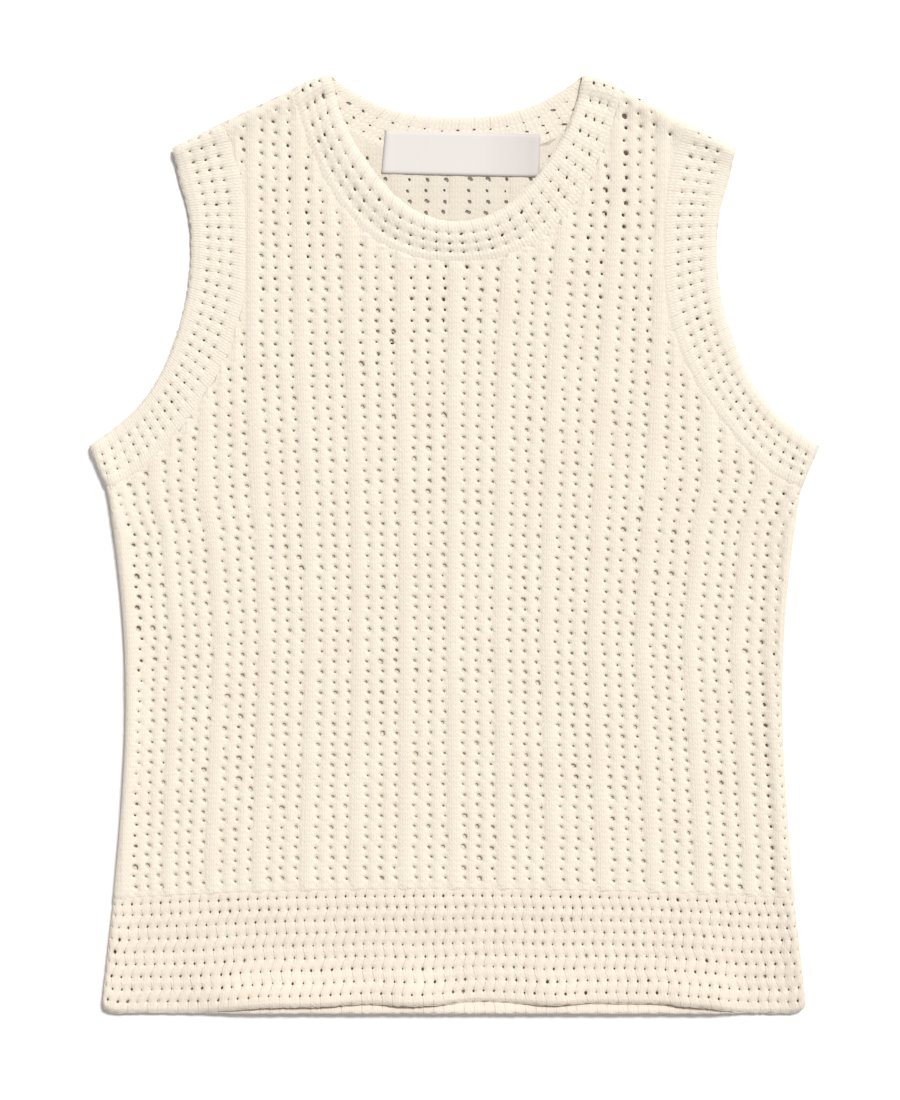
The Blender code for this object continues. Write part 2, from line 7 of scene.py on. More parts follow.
import bpy
import numpy as np
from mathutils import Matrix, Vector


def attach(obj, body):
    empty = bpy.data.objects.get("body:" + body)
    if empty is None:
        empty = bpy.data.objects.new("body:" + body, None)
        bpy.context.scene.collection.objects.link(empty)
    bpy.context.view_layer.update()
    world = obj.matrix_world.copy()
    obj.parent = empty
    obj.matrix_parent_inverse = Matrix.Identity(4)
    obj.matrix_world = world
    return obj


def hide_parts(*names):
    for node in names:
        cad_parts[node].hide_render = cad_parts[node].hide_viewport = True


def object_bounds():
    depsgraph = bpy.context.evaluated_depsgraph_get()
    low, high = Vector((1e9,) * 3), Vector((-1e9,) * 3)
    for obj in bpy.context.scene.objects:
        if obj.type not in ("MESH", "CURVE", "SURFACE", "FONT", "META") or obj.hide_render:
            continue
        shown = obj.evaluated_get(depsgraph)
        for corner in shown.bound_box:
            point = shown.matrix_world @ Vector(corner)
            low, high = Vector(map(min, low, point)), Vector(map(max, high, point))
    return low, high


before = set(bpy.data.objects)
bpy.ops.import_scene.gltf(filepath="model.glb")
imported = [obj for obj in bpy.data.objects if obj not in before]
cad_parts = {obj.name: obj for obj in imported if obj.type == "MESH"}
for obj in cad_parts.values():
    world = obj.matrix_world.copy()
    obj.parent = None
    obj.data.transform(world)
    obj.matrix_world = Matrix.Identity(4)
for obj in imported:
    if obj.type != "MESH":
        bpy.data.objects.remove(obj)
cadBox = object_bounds()
print("frame loaded, box of the solids", [list(corner) for corner in cadBox])
millimetre = 0.001

garment = {
    "length": 563.7,          # neck point to back hem edge
    "thickness": 4.3,         # of both layers where they lie together
    "panelWall": (1.2, 2.8),  # front and back: the front is drawn out thin
    "bandWall": (1.6, 2.6),
    "edgeWall": 0.35,         # what is left of it at a rounded edge
    "tuck": 0.05,             # share of a band's width that the panels run on under it
    "foldRadius": 3.2,        # roll where the front turns into the back
    "swellReach": 7.0,        # how far in the roll holds the front up
    "neckShift": 1.8,         # the neck opening lies a little to the right
    "neckLift": 2.4,          # the front neckline stands this much clear of the back
    "neckLiftReach": 18.0,
    "innerValley": 0.35,      # depth of the ribs on the inside
    "underValley": 0.7,       # and on the underside of the back
    "roundInner": 0.85,       # share by which the back's inner face sinks at a free edge
    "liftInside": 24.0,       # the neck and the hem are lifted in full only this far from a fold
    "foldMargin": 0.05,       # a flat panel ends this much before the middle of a fold
    "hemTuck": 1.2,           # and runs on this far under its hem band
    "outlineStep": 0.7,       # between the points that a cut edge is drawn to
}
# How many points the lines are worked out at
samples = {"curve": 900, "backNeck": 121, "seam": 60, "shoulder": 40, "hemEdge": 41, "band": 2001}

# Outlines, a row for each point: how far below the neck point, how far from the centre line
sideLine = (
    # down, half
    (223.2, 219.3), (231.0, 214.6), (247.8, 208.6), (272.0, 204.6), (303.0, 200.8), (345.0, 197.7),
    (390.0, 197.2), (440.0, 199.8), (494.0, 204.6), (530.0, 209.0), (556.0, 211.0),
)
armholeEdge = (
    # down, half
    (43.8, 169.2), (62.0, 165.0), (80.0, 159.9), (101.0, 157.8), (122.0, 158.7), (144.0, 163.0),
    (166.0, 170.2), (186.0, 180.2), (202.0, 192.6), (214.0, 207.0), (223.2, 219.3),
)
armholeSeam = (
    # down, half
    (28.8, 139.4), (48.0, 131.6), (75.0, 126.4), (105.0, 125.2), (132.0, 126.6), (154.0, 131.6),
    (174.0, 139.6), (194.0, 151.0), (213.0, 165.4), (229.0, 179.4), (241.0, 193.4), (247.8, 208.6),
)
neckEdge = (
    # down, half
    (0.0, 75.6), (27.6, 67.8), (51.6, 54.3), (67.2, 42.0), (79.2, 28.4), (85.8, 14.6), (87.9, 0.0),
)
neckSeam = (
    # down, half
    (9.0, 99.4), (28.8, 93.2), (49.8, 85.0), (67.2, 76.6), (84.0, 65.0), (99.0, 48.6),
    (108.0, 29.4), (111.9, 0.0),
)
hemCorner = (
    # down, half
    (556.0, 211.0), (560.3, 209.4), (562.3, 205.6), (562.9, 197.0),
)
backNeck = {
    "depth": 25.2,
    "power": 2.5,             # 2 is an ellipse, and more is flatter
    "bandWidth": 24.6,
    "foldBow": 1.7,           # the band's middle rises this much where it folds over
    "bowReach": 0.05,         # fading over this share of the way across
}
hem = {
    "seamDown": 488.4,        # seam between the panels and the hem bands
    "seamDrop": 5.6,          # it is this much lower at the sides
    "dropHalf": 204.0,        # this far from the middle
    "sideHalf": 204.1,        # its half length
    "frontRise": 6.5,         # the front hem ends about this much above the back one
    "riseSpread": 5.0,        # its rises are evened out over this much to each side
    "wave": 0.9,
    "lift": 3.5,
    "liftSpread": 0.6,        # share by which the lift grows where the front hem hangs low
    "liftReach": 18.0,
    "freeRise": 4.0,          # rise at which the two hems have parted
    "cornerGap": 12.0,        # between a rounded corner and the first point of the edge
    "short": 0.8,             # the back hem's edge is this much above the garment's length
    "backCurl": 4.2,          # and stands this much off the floor, less at its ends
    "backCurlReach": 8.0,
    "curlAtEnds": 0.43,       # share of the curl where the two hems meet
}
# How much higher the front hem's edge ends than the back one's, along the hem
frontHemRise = (
    # across, rise
    (-168.0, 0.0), (-145.0, 1.9), (-124.0, 4.1), (-110.0, 5.0), (-85.0, 5.0), (-62.0, 6.4),
    (-48.0, 6.8), (-30.0, 5.4), (-12.0, 6.0), (12.0, 8.0), (34.0, 7.3), (59.0, 5.8), (80.0, 7.0),
    (125.0, 6.7), (140.0, 5.2), (155.0, 4.4), (166.0, 2.2), (177.0, 0.3), (190.0, 0.0),
)
rollArc = garment["foldRadius"] * math.pi / 2      # length round a quarter of a fold
rollExtra = rollArc - garment["foldRadius"]        # what a fold adds to the flat width
random = np.random.default_rng(7)


def toWorld(rows, side=1.0, shift=0.0):
    # rows of (down, half) as (x, y): x = side * half + shift, y = length / 2 - down
    rows = np.array(rows, float)
    return np.column_stack([side * rows[:, 1] + shift, garment["length"] / 2 - rows[:, 0]])


def withLength(dense):
    # a line's points and the running sum of its steps
    return dense, np.concatenate([[0.0], np.cumsum(np.hypot(*np.diff(dense, axis=0).T))])


def smoothLine(points):
    # cubic Hermite curve through the points, its slopes the differences of its neighbours
    points = np.asarray(points, float)
    chord = np.concatenate([[0.0], np.cumsum(np.hypot(*np.diff(points, axis=0).T))])
    slope = np.gradient(points, chord, axis=0)
    at = np.linspace(0.0, chord[-1], samples["curve"])
    k = np.clip(np.searchsorted(chord, at, side="right") - 1, 0, len(chord) - 2)
    span = (chord[k + 1] - chord[k])[:, None]
    f = (at - chord[k])[:, None] / span
    dense = (
        (2 * f**3 - 3 * f**2 + 1) * points[k]
        + (f**3 - 2 * f**2 + f) * span * slope[k]
        + (3 * f**2 - 2 * f**3) * points[k + 1]
        + (f**3 - f**2) * span * slope[k + 1]
    )
    return withLength(dense)


def alongLine(line, distance):
    # points of a line at an array of distances, straight between its dense points
    dense, length = line
    return np.column_stack([np.interp(distance, length, dense[:, i]) for i in (0, 1)])


def inBlocks(points, size):
    # the points in equal blocks of about the size given, to spare memory
    return np.array_split(points, max(len(points) // size, 1))


def awayFrom(line, points):
    # least distance of each point to every sixth of the line's dense points
    dense = line[0][::6]
    parts = []
    for block in inBlocks(points, 15000):
        steps = block[:, None, :] - dense[None, :, :]
        parts.append(np.sqrt((steps**2).sum(axis=2).min(axis=1)))
    return np.concatenate(parts)


def bothSides(rows):
    # the neck's rows from its left fold to the centre and on to its right fold
    left = toWorld(rows, -1.0, garment["neckShift"])
    right = toWorld(rows[-2::-1], 1.0, garment["neckShift"])
    return np.vstack([left, right])


def smoothStep(value):
    # 3v^2 - 2v^3 between 0 and 1
    value = np.clip(value, 0.0, 1.0)
    return value * value * (3.0 - 2.0 * value)


def hemSeamHeight(x):
    # a shallow parabola, lowest at the sides
    return garment["length"] / 2 - hem["seamDown"] - hem["seamDrop"] * (x / hem["dropHalf"]) ** 2


def hemRise(x):
    # straight interpolation in the table, as the mean of three places
    across, rise = np.array(frontHemRise).T
    spread = hem["riseSpread"]
    return sum(np.interp(x + step, across, rise) for step in (-spread, 0.0, spread)) / 3


def hemLift(x):
    # none where the two hems meet, and more where the front one hangs lower
    rise = hemRise(x)
    low = np.clip((hem["frontRise"] - rise) / hem["wave"], -1.0, 1.0)
    return hem["lift"] * (1.0 + hem["liftSpread"] * low) * smoothStep(rise / hem["freeRise"])


def hemEdgeLine(front):
    # two rounded corners joined by a straight edge, raised and waved on the front
    left = toWorld(hemCorner, -1.0)
    right = toWorld(hemCorner[::-1], 1.0)
    gap = hem["cornerGap"]
    x = np.linspace(left[-1, 0] + gap, right[0, 0] - gap, samples["hemEdge"])
    y = np.full(len(x), hem["short"] - garment["length"] / 2)
    if front:
        y = np.maximum(y, hemRise(x) - garment["length"] / 2)
    return smoothLine(np.vstack([left, np.column_stack([x, y]), right]))


def hemSeamLine():
    # the parabola of the seam's height, from side to side
    x = np.linspace(-hem["sideHalf"], hem["sideHalf"], samples["seam"])
    return withLength(np.column_stack([x, hemSeamHeight(x)]))


def backNeckLine(offset):
    # flattened half ellipse: down = start + (depth - start) * (1 - |sin|^power)
    share = offset / backNeck["bandWidth"]
    half = neckEdge[0][1] + (neckSeam[0][1] - neckEdge[0][1]) * share
    start = neckEdge[0][0] + (neckSeam[0][0] - neckEdge[0][0]) * share
    depth = backNeck["depth"] + offset
    across = np.sin(np.linspace(-math.pi / 2, math.pi / 2, samples["backNeck"]))
    down = start + (depth - start) * (1.0 - np.abs(across) ** backNeck["power"])
    x = half * across + garment["neckShift"]
    return withLength(np.column_stack([x, garment["length"] / 2 - down]))


def shoulderLine(side):
    # straight stretches from the neck point over both band seams to the shoulder tip
    stops = [
        toWorld(neckEdge[:1], side, garment["neckShift"])[0],
        toWorld(neckSeam[:1], side, garment["neckShift"])[0],
        toWorld(armholeSeam[:1], side)[0],
        toWorld(armholeEdge[:1], side)[0],
    ]
    stretches = zip(stops, stops[1:])
    return withLength(np.vstack([np.linspace(a, b, samples["shoulder"]) for a, b in stretches]))


def tuckedLine(seam, edge):
    # where a panel ends under its band: seam * (1 - tuck) + edge * tuck, share by share
    share = np.linspace(0.0, 1.0, samples["curve"])
    seam, edge = (alongLine(line, share * line[1][-1]) for line in (seam, edge))
    return withLength(seam + (edge - seam) * garment["tuck"])


sides = {side: smoothLine(toWorld(sideLine, side)) for side in (-1.0, 1.0)}
shoulders = {side: shoulderLine(side) for side in (-1.0, 1.0)}
frontNeckEdge = smoothLine(bothSides(neckEdge))
print("outlines drawn")


def frontTop(points):
    # both layers' thickness, plus the larger of the swell beside a fold and the lift at the
    # neck, plus the hem's lift: bell curves of the distance to each of those lines
    folds = (*sides.values(), *shoulders.values())
    fold = np.min([awayFrom(line, points) for line in folds], axis=0)
    flat = garment["thickness"]
    beyond = np.maximum(fold - garment["foldRadius"], 0.0) / garment["swellReach"]
    swell = (2 * garment["foldRadius"] - flat) * np.exp(-(beyond**2))
    inside = 1.0 - np.exp(-((fold / garment["liftInside"]) ** 2))
    neck = awayFrom(frontNeckEdge, points) / garment["neckLiftReach"]
    lift = garment["neckLift"] * np.exp(-(neck**4)) * inside
    x, y = points[:, 0], points[:, 1]
    above = (y + garment["length"] / 2 - hem["frontRise"]) / hem["liftReach"]
    return flat + np.maximum(swell, lift) + hemLift(x) * np.exp(-(above**2)) * inside


def depthBelow(walls, level, relief, facing):
    # level runs from 0, the outer face, to 1, the inner one; ribs stand out of the front
    # and are sunk into the underside, whose crests lie on the floor; facing is the sine of
    # the angle round a fold, 1 on the front and -1 on the back; a relief below 0 rounds an
    # edge: on the front its outer face sinks, and on the back its inner one does
    under = garment["underValley"] * np.clip(1.0 - relief, 0.0, 1.0)
    outer = -relief * np.maximum(facing, 0.0) + under * np.maximum(-facing, 0.0)
    wall = (walls[0] * (1.0 + facing) + walls[1] * (1.0 - facing)) / 2
    inner = wall - garment["innerValley"] * (1.0 - np.clip(np.abs(relief), 0.0, 1.0))
    inner = inner - garment["roundInner"] * np.maximum(-relief, 0.0) * np.maximum(-facing, 0.0)
    inner = np.maximum(inner, np.minimum(outer, 1.0) + garment["edgeWall"])
    outer = np.minimum(outer, inner - garment["edgeWall"])
    return outer + (inner - outer) * level


# The places round a cell, in thirds of its width and height, anticlockwise from the right
cellPlaces = np.array([
    (3, 1), (3, 2), (3, 3), (2, 3), (1, 3), (0, 3), (0, 2), (0, 1), (0, 0), (1, 0), (2, 0), (3, 0),
])
ringPoints = len(cellPlaces)
cellAngles = np.radians(np.arange(ringPoints) * (360.0 / ringPoints) - 15.0)
knitRings = {
    "shoulder": 0.45,         # place of the middle ring between the hole's rim and the cell's edge
    "shoulderRise": 0.8,      # how much of the rib's height it has already
    "rim": -0.15,             # height of the rim
    "widest": 0.84,           # a hole's radius, at most, as a share of the way to the cell's edge
    "seamRelief": -0.12,      # height that the ribs sink to under a band
    "uvRim": 0.36,            # the same places as shares of the cell, for the yarn pattern
    "uvShoulder": 0.63,
    "waistLevel": 0.45,       # a hole's middle ring lies this far down the wall
    "uvWaist": 0.8,           # and at this share of its rim in the yarn pattern
    "margin": 0.9,            # knit left between a hole and the piece's edge
    "wobble": 0.07,           # unevenness of a rim
    "cornerReach": 5.0,       # a lattice point this near a corner of the piece moves to it
}
# Which holes stand open: slow waves over columns and rows of the lattice, plus chance
openWaves = {
    "column": 0.55,           # radians a column
    "sway": 1.7,              # and how far, and how fast along the rows, that wave sways
    "swayRow": 0.13,
    "row": 0.23,
    "rowSlant": 0.4,
    "waves": 0.55,            # strength of the waves, and of chance
    "chance": 0.55,
    "softness": 0.5,          # from closed in to open over this much past the limit
    "throatSpread": 0.06,
    "leastThroat": 0.3,
}


def holeRing(holes, angle):
    # radius of an ellipse at each angle: a b / sqrt((b cos)^2 + (a sin)^2), then round its centre
    a, b = holes["radius"][:, 0:1], holes["radius"][:, 1:2]
    turned = angle[None, :] - holes["tilt"][:, None]
    radius = a * b / np.sqrt((b * np.cos(turned)) ** 2 + (a * np.sin(turned)) ** 2)
    radius = radius * holes["wobble"]
    return radius * np.cos(angle), radius * np.sin(angle)


def holeThroats(size, look):
    # share of its width that a hole keeps on the inside: yarn closes most in, and those where
    # slow waves over the lattice plus chance pass a limit stand open
    column, row = np.meshgrid(np.arange(size[0]), np.arange(size[1]), indexing="ij")
    waves = np.sin(column * openWaves["column"] + openWaves["sway"] * np.sin(row * openWaves["swayRow"]))
    waves = waves + np.sin(row * openWaves["row"] + openWaves["rowSlant"] * column)
    field = openWaves["waves"] * waves + random.normal(0.0, openWaves["chance"], size)
    wide = smoothStep((field - look["openFrom"]) / openWaves["softness"])
    most = random.normal(look["throat"], openWaves["throatSpread"], size)
    most = np.clip(most, openWaves["leastThroat"], 1.0)
    return most + (look["openThroat"] - most) * wide


def knitMesh(name, pattern, place, surface, limit=None):
    # A lattice of cells, each a closed patch or a hole with three rings of points. Cells share
    # the points round them by number. place gives a lattice point's flat position, surface lifts
    # flat points to the level and relief asked, and limit is the outline that it is cut to.
    countC, countR = pattern["open"].shape
    loop = pattern.get("loop", False)
    wide = 3 * countC if loop else 3 * countC + 1
    tall = 3 * countR + 1
    cells = np.meshgrid(np.arange(countC), np.arange(countR), indexing="ij")
    cellC, cellR = [numbers.ravel() for numbers in cells]
    keyC = 3 * cellC[:, None] + cellPlaces[None, :, 0]
    keyR = 3 * cellR[:, None] + cellPlaces[None, :, 1]
    key = (keyC % wide) * tall + keyR
    across = np.interp(keyC / 3.0, np.arange(countC + 1), pattern["columns"])
    along = np.interp(keyR / 3.0, np.arange(countR + 1), pattern["rows"])
    middleC = pattern["columns"][cellC] + (np.diff(pattern["columns"]) * pattern["middle"])[cellC]
    middleR = (pattern["rows"][1:] + pattern["rows"][:-1])[cellR] / 2
    used, first, border = np.unique(key, return_index=True, return_inverse=True)
    border = border.reshape(key.shape)
    edgeFlat = place(across.ravel()[first], along.ravel()[first])
    edgeUv = pattern["uv"](across.ravel()[first], along.ravel()[first])
    edgeRelief = pattern["relief"][keyC.ravel()[first], keyR.ravel()[first]]
    middleFlat = place(middleC, middleR)
    isOpen = pattern["open"].ravel().copy()
    snapped = np.zeros(len(used), bool)
    keep = np.ones(len(cellC), bool)
    middleOut = np.zeros(len(cellC), bool)
    if limit is not None:
        within = insideOutline(limit, edgeFlat)
        keep = within[border].any(axis=1)
        near, gapTo = nearestOutline(limit, edgeFlat)
        snapped = ~within
        edgeFlat = np.where(snapped[:, None], near, edgeFlat)
        fade = smoothStep(np.where(snapped, 0.0, gapTo) / pattern["fade"])
        edgeRelief = knitRings["seamRelief"] + (edgeRelief - knitRings["seamRelief"]) * fade
        for corner in limit["corners"]:
            away = np.hypot(*(edgeFlat - corner).T) + np.where(snapped, 0.0, 1e6)
            if away.min() < knitRings["cornerReach"]:
                edgeFlat[np.argmin(away)] = corner
        middleOut = ~insideOutline(limit, middleFlat)
        cut = snapped[border].any(axis=1)
        middleFlat = np.where(cut[:, None], edgeFlat[border].mean(axis=1), middleFlat)
        middleGap = nearestOutline(limit, middleFlat)[1]
        room = pattern["radius"].reshape(-1, 2).max(axis=1) + knitRings["margin"]
        isOpen &= ~middleOut & ~cut & (middleGap > room)
    isOpen &= keep
    blank = keep & ~isOpen

    # points: the edges of the cells on both faces, the middles of closed cells, the rings
    holeCount, blankCount = int(isOpen.sum()), int(blank.sum())
    widened, narrowed = np.ones(holeCount), np.ones(len(cellC))
    onFold = np.zeros(len(cellC), bool)
    if limit is not None:
        onFold = nearestFold(middleFlat)[0] < ribs["closedReach"]
        narrowed[onFold] = ribs["closed"]
        beside = (middleGap < ribs["drawnReach"]) & (middleFlat[:, 1] > limit["corners"][1][1])
        widened = np.where(beside, ribs["drawn"], 1.0)[isOpen]
    holes = {
        "radius": pattern["radius"].reshape(-1, 2)[isOpen] * widened[:, None],
        "tilt": pattern["tilt"].ravel()[isOpen],
        "wobble": random.normal(1.0, knitRings["wobble"], (holeCount, ringPoints)),
    }
    throats = (pattern["throat"].ravel() * narrowed)[isOpen][:, None, None]
    scale = pattern["scale"](middleFlat[isOpen])
    centre = middleFlat[isOpen] + pattern["shift"].reshape(-1, 2)[isOpen] / scale
    outerEdge = edgeFlat[border[isOpen]]
    toEdge = outerEdge - centre[:, None, :]
    if loop:
        toEdge[..., 0] -= pattern["period"] * np.round(toEdge[..., 0] / pattern["period"])
        outerEdge = centre[:, None, :] + toEdge
    nearestEdge = np.sqrt(((toEdge * scale[:, None, :]) ** 2).sum(axis=2)).min(axis=1)
    holes["radius"] = np.minimum(holes["radius"], (nearestEdge * knitRings["widest"])[:, None])
    ringX, ringY = holeRing(holes, cellAngles)
    step = np.stack([ringX, ringY], axis=2) / scale[:, None, :]
    rim = centre[:, None, :] + step
    waist = centre[:, None, :] + step * (1.0 - pattern["lip"] * (1.0 - throats))
    throat = centre[:, None, :] + step * throats
    shoulder = rim + (outerEdge - rim) * knitRings["shoulder"]
    rimRelief = np.full(rim.shape[:2], knitRings["rim"])
    reliefHere = edgeRelief[border[isOpen]]
    shoulderRelief = rimRelief + (reliefHere - rimRelief) * knitRings["shoulderRise"]
    middleUv = pattern["uv"](middleC, middleR)
    ringUv = middleUv[isOpen][:, None, :]
    uvStep = edgeUv[border[isOpen]] - ringUv
    if loop:
        uvStep[..., 0] = (uvStep[..., 0] + countC) % (2 * countC) - countC
    waistUv = ringUv + uvStep * knitRings["uvRim"] * knitRings["uvWaist"]
    middleRelief = pattern["middleRelief"].ravel()
    if limit is not None:
        fade = smoothStep(middleGap / pattern["fade"])
        middleRelief = knitRings["seamRelief"] + (middleRelief - knitRings["seamRelief"]) * fade
    groups = [
        (edgeFlat, 0.0, edgeRelief, edgeUv),
        (edgeFlat, 1.0, edgeRelief, edgeUv),
        (middleFlat[blank], 0.0, middleRelief[blank], middleUv[blank]),
        (middleFlat[blank], 1.0, middleRelief[blank], middleUv[blank]),
        (shoulder, 0.0, shoulderRelief, ringUv + uvStep * knitRings["uvShoulder"]),
        (rim, 0.0, rimRelief, ringUv + uvStep * knitRings["uvRim"]),
        (waist, knitRings["waistLevel"], rimRelief, waistUv),
        (throat, 1.0, rimRelief, ringUv + uvStep * knitRings["uvRim"]),
    ]
    starts, points, uvs, total = [], [], [], 0
    for flat, level, relief, uv in groups:
        flat = flat.reshape(-1, 2)
        starts.append(total)
        total += len(flat)
        points.append(surface(flat, level, relief.ravel()))
        uvs.append(uv.reshape(-1, 2))
    points, uvs = np.vstack(points), np.vstack(uvs)

    # faces: strips from ring to ring, fans over closed cells, walls round the piece's edges
    turn = np.roll(np.arange(ringPoints), -1)
    holeNumber = np.arange(holeCount * ringPoints).reshape(holeCount, ringPoints)
    top, under = starts[0] + border, starts[1] + border
    rings = [top[isOpen], *[starts[i] + holeNumber for i in (4, 5, 6, 7)], under[isOpen]]
    quads = [
        np.stack([a, a[:, turn], b[:, turn], b], axis=2).reshape(-1, 4)
        for a, b in zip(rings, rings[1:])
    ]
    blankNumber = np.repeat(np.arange(blankCount)[:, None], ringPoints, axis=1)
    fanTop, fanUnder = starts[2] + blankNumber, starts[3] + blankNumber
    triangles = [
        np.stack([top[blank], top[blank][:, turn], fanTop], axis=2).reshape(-1, 3),
        np.stack([under[blank][:, turn], under[blank], fanUnder], axis=2).reshape(-1, 3),
    ]
    edges = np.stack([border[keep], border[keep][:, turn]], axis=2).reshape(-1, 2)
    code = np.sort(edges, axis=1) @ np.array([len(used), 1])
    _, firstUse, uses = np.unique(code, return_index=True, return_counts=True)
    a, b = edges[firstUse[uses == 1]].T
    walls = np.column_stack([starts[0] + b, starts[0] + a, starts[1] + a, starts[1] + b])
    plain = np.flatnonzero((snapped[border].any(axis=1) & ~onFold)[blank])
    plain = np.concatenate([starts[2] + plain, starts[3] + plain])
    crisp = np.concatenate([walls.ravel(), (starts[7] + holeNumber).ravel()])
    quads, triangles = np.vstack([*quads, walls]), np.vstack(triangles)
    return makeMesh(name, points, uvs, quads, triangles, pattern, crisp, plain)


def addObject(name, data):
    # a new object of the data at the origin, in the scene
    thing = bpy.data.objects.new(name, data)
    bpy.context.scene.collection.objects.link(thing)
    return thing


def makeMesh(name, points, uvs, quads, triangles, pattern, crisp, plain):
    # quads split in two, points at the same place made one, faces that this flattens left out, one
    # kept of those with the same three points, and all turned so that the enclosed volume is
    # positive; edges between two crisp points aren't smoothed, nor are faces round the plain points
    faces = np.vstack([quads[:, [0, 1, 2]], quads[:, [0, 2, 3]], triangles])
    _, first, same = np.unique(np.round(points, 3), axis=0, return_index=True, return_inverse=True)
    faces = first[same.ravel()][faces]
    a, b, c = faces.T
    faces = faces[(a != b) & (b != c) & (c != a)]
    _, once = np.unique(np.sort(faces, axis=1), axis=0, return_index=True)
    faces = faces[np.sort(once)]
    a, b, c = (points[faces[:, i]] for i in (0, 1, 2))
    if (np.cross(a, b) * c).sum() < 0:
        faces = faces[:, ::-1]
    isCrisp, isPlain = np.zeros(len(points), bool), np.zeros(len(points), bool)
    isCrisp[first[same.ravel()][crisp]] = True
    isPlain[first[same.ravel()][plain]] = True
    flatFace = isPlain[faces].any(axis=1)
    used, faces = np.unique(faces, return_inverse=True)
    faces = faces.reshape(-1, 3)
    points, uvs, isCrisp = points[used] * millimetre, uvs[used], isCrisp[used]
    mesh = bpy.data.meshes.new(name)
    mesh.vertices.add(len(points))
    mesh.vertices.foreach_set("co", points.astype(np.float32).ravel())
    mesh.loops.add(faces.size)
    mesh.loops.foreach_set("vertex_index", faces.astype(np.int32).ravel())
    mesh.polygons.add(len(faces))
    mesh.polygons.foreach_set("loop_start", np.arange(0, faces.size, 3, dtype=np.int32))
    layer = mesh.uv_layers.new(name="stitches")
    corner = uvs[faces.ravel()]
    if pattern.get("loop"):
        around = 2.0 * pattern["open"].shape[0]
        whole = corner[:, 0].reshape(-1, 3)
        whole = whole + around * (whole.max(axis=1, keepdims=True) - whole > around / 2)
        corner = np.column_stack([whole.ravel(), corner[:, 1]])
    layer.data.foreach_set("uv", corner.astype(np.float32).ravel())
    mesh.update(calc_edges=True)
    mesh.shade_smooth()
    flat = mesh.attributes.new("sharp_face", "BOOLEAN", "FACE")
    flat.data.foreach_set("value", flatFace)
    ends = np.empty(len(mesh.edges) * 2, np.int32)
    mesh.edges.foreach_get("vertices", ends)
    sharp = mesh.attributes.new("sharp_edge", "BOOLEAN", "EDGE")
    sharp.data.foreach_set("value", isCrisp[ends.reshape(-1, 2)].all(axis=1))
    mesh.validate()
    print(name, len(faces), "triangles")
    return addObject(name, mesh)


def outline(*lines):
    # closed polygon through all the lines, its corners where one line ends and the next begins,
    # and the same polygon walked in small equal steps
    points = np.vstack(lines)
    ring, length = withLength(np.vstack([points, points[:1]]))
    walked = alongLine((ring, length), np.arange(0.0, length[-1], garment["outlineStep"]))
    nextLines = lines[1:] + lines[:1]
    corners = np.array([(line[-1] + after[0]) / 2 for line, after in zip(lines, nextLines)])
    return {"polygon": points, "walked": walked, "corners": corners}


def insideOutline(limit, points):
    # odd number of crossings to the right
    polygon = limit["polygon"]
    a, b = polygon, np.roll(polygon, -1, axis=0)
    rise = np.where(b[:, 1] == a[:, 1], 1.0, b[:, 1] - a[:, 1])
    parts = []
    for block in inBlocks(points, 4000):
        x, y = block[:, 0:1], block[:, 1:2]
        crosses = (a[:, 1] > y) != (b[:, 1] > y)
        at = a[:, 0] + (y - a[:, 1]) * (b[:, 0] - a[:, 0]) / rise
        parts.append((crosses & (x < at)).sum(axis=1) % 2 == 1)
    return np.concatenate(parts)


def nearestOutline(limit, points):
    # nearest walked point of the outline, and how far it is
    walked = limit["walked"].astype(np.float32)
    nearest, gaps = [], []
    for block in inBlocks(points.astype(np.float32), 1500):
        away = (block[:, 0:1] - walked[:, 0]) ** 2 + (block[:, 1:2] - walked[:, 1]) ** 2
        best = away.argmin(axis=1)
        nearest.append(limit["walked"][best])
        gaps.append(np.sqrt(away[np.arange(len(best)), best]))
    return np.vstack(nearest), np.concatenate(gaps)


def longer(line, extra):
    # the line's points, thinned, with both ends run straight on
    dense = line[0][::12]
    dense = np.vstack([dense, line[0][-1:]])
    first = dense[0] + (dense[0] - dense[1]) / np.hypot(*(dense[0] - dense[1])) * extra
    last = dense[-1] + (dense[-1] - line[0][-4]) / np.hypot(*(dense[-1] - line[0][-4])) * extra
    return np.vstack([first, dense, last])


def panelOutline(layer):
    # hem seam, right side, right armhole, neck and left armhole, anticlockwise, laid out flat
    extra = rollExtra - garment["foldMargin"]
    hemLine = longer(hemSeamLine(), extra) - np.array([0.0, garment["hemTuck"]])
    arms = {}
    for side in (-1.0, 1.0):
        seam, edge = (smoothLine(toWorld(rows, side)) for rows in (armholeSeam, armholeEdge))
        arms[side] = longer(tuckedLine(seam, edge), extra)
    neckLines = {
        "front": (smoothLine(bothSides(neckSeam)), frontNeckEdge),
        "back": (backNeckLine(backNeck["bandWidth"]), backNeckLine(0.0)),
    }
    neckLine = longer(tuckedLine(*neckLines[layer]), extra)
    edges = []
    for side in (1.0, -1.0):
        y = np.linspace(hemLine[0, 1], arms[side][-1, 1], samples["seam"])[1:-1]
        dense = sides[side][0]
        x = np.interp(-y, -dense[:, 1], dense[:, 0]) + side * extra
        edges.append(np.column_stack([x, y]))
    return outline(hemLine, edges[0], arms[1.0][::-1], neckLine[::-1], arms[-1.0], edges[1][::-1])


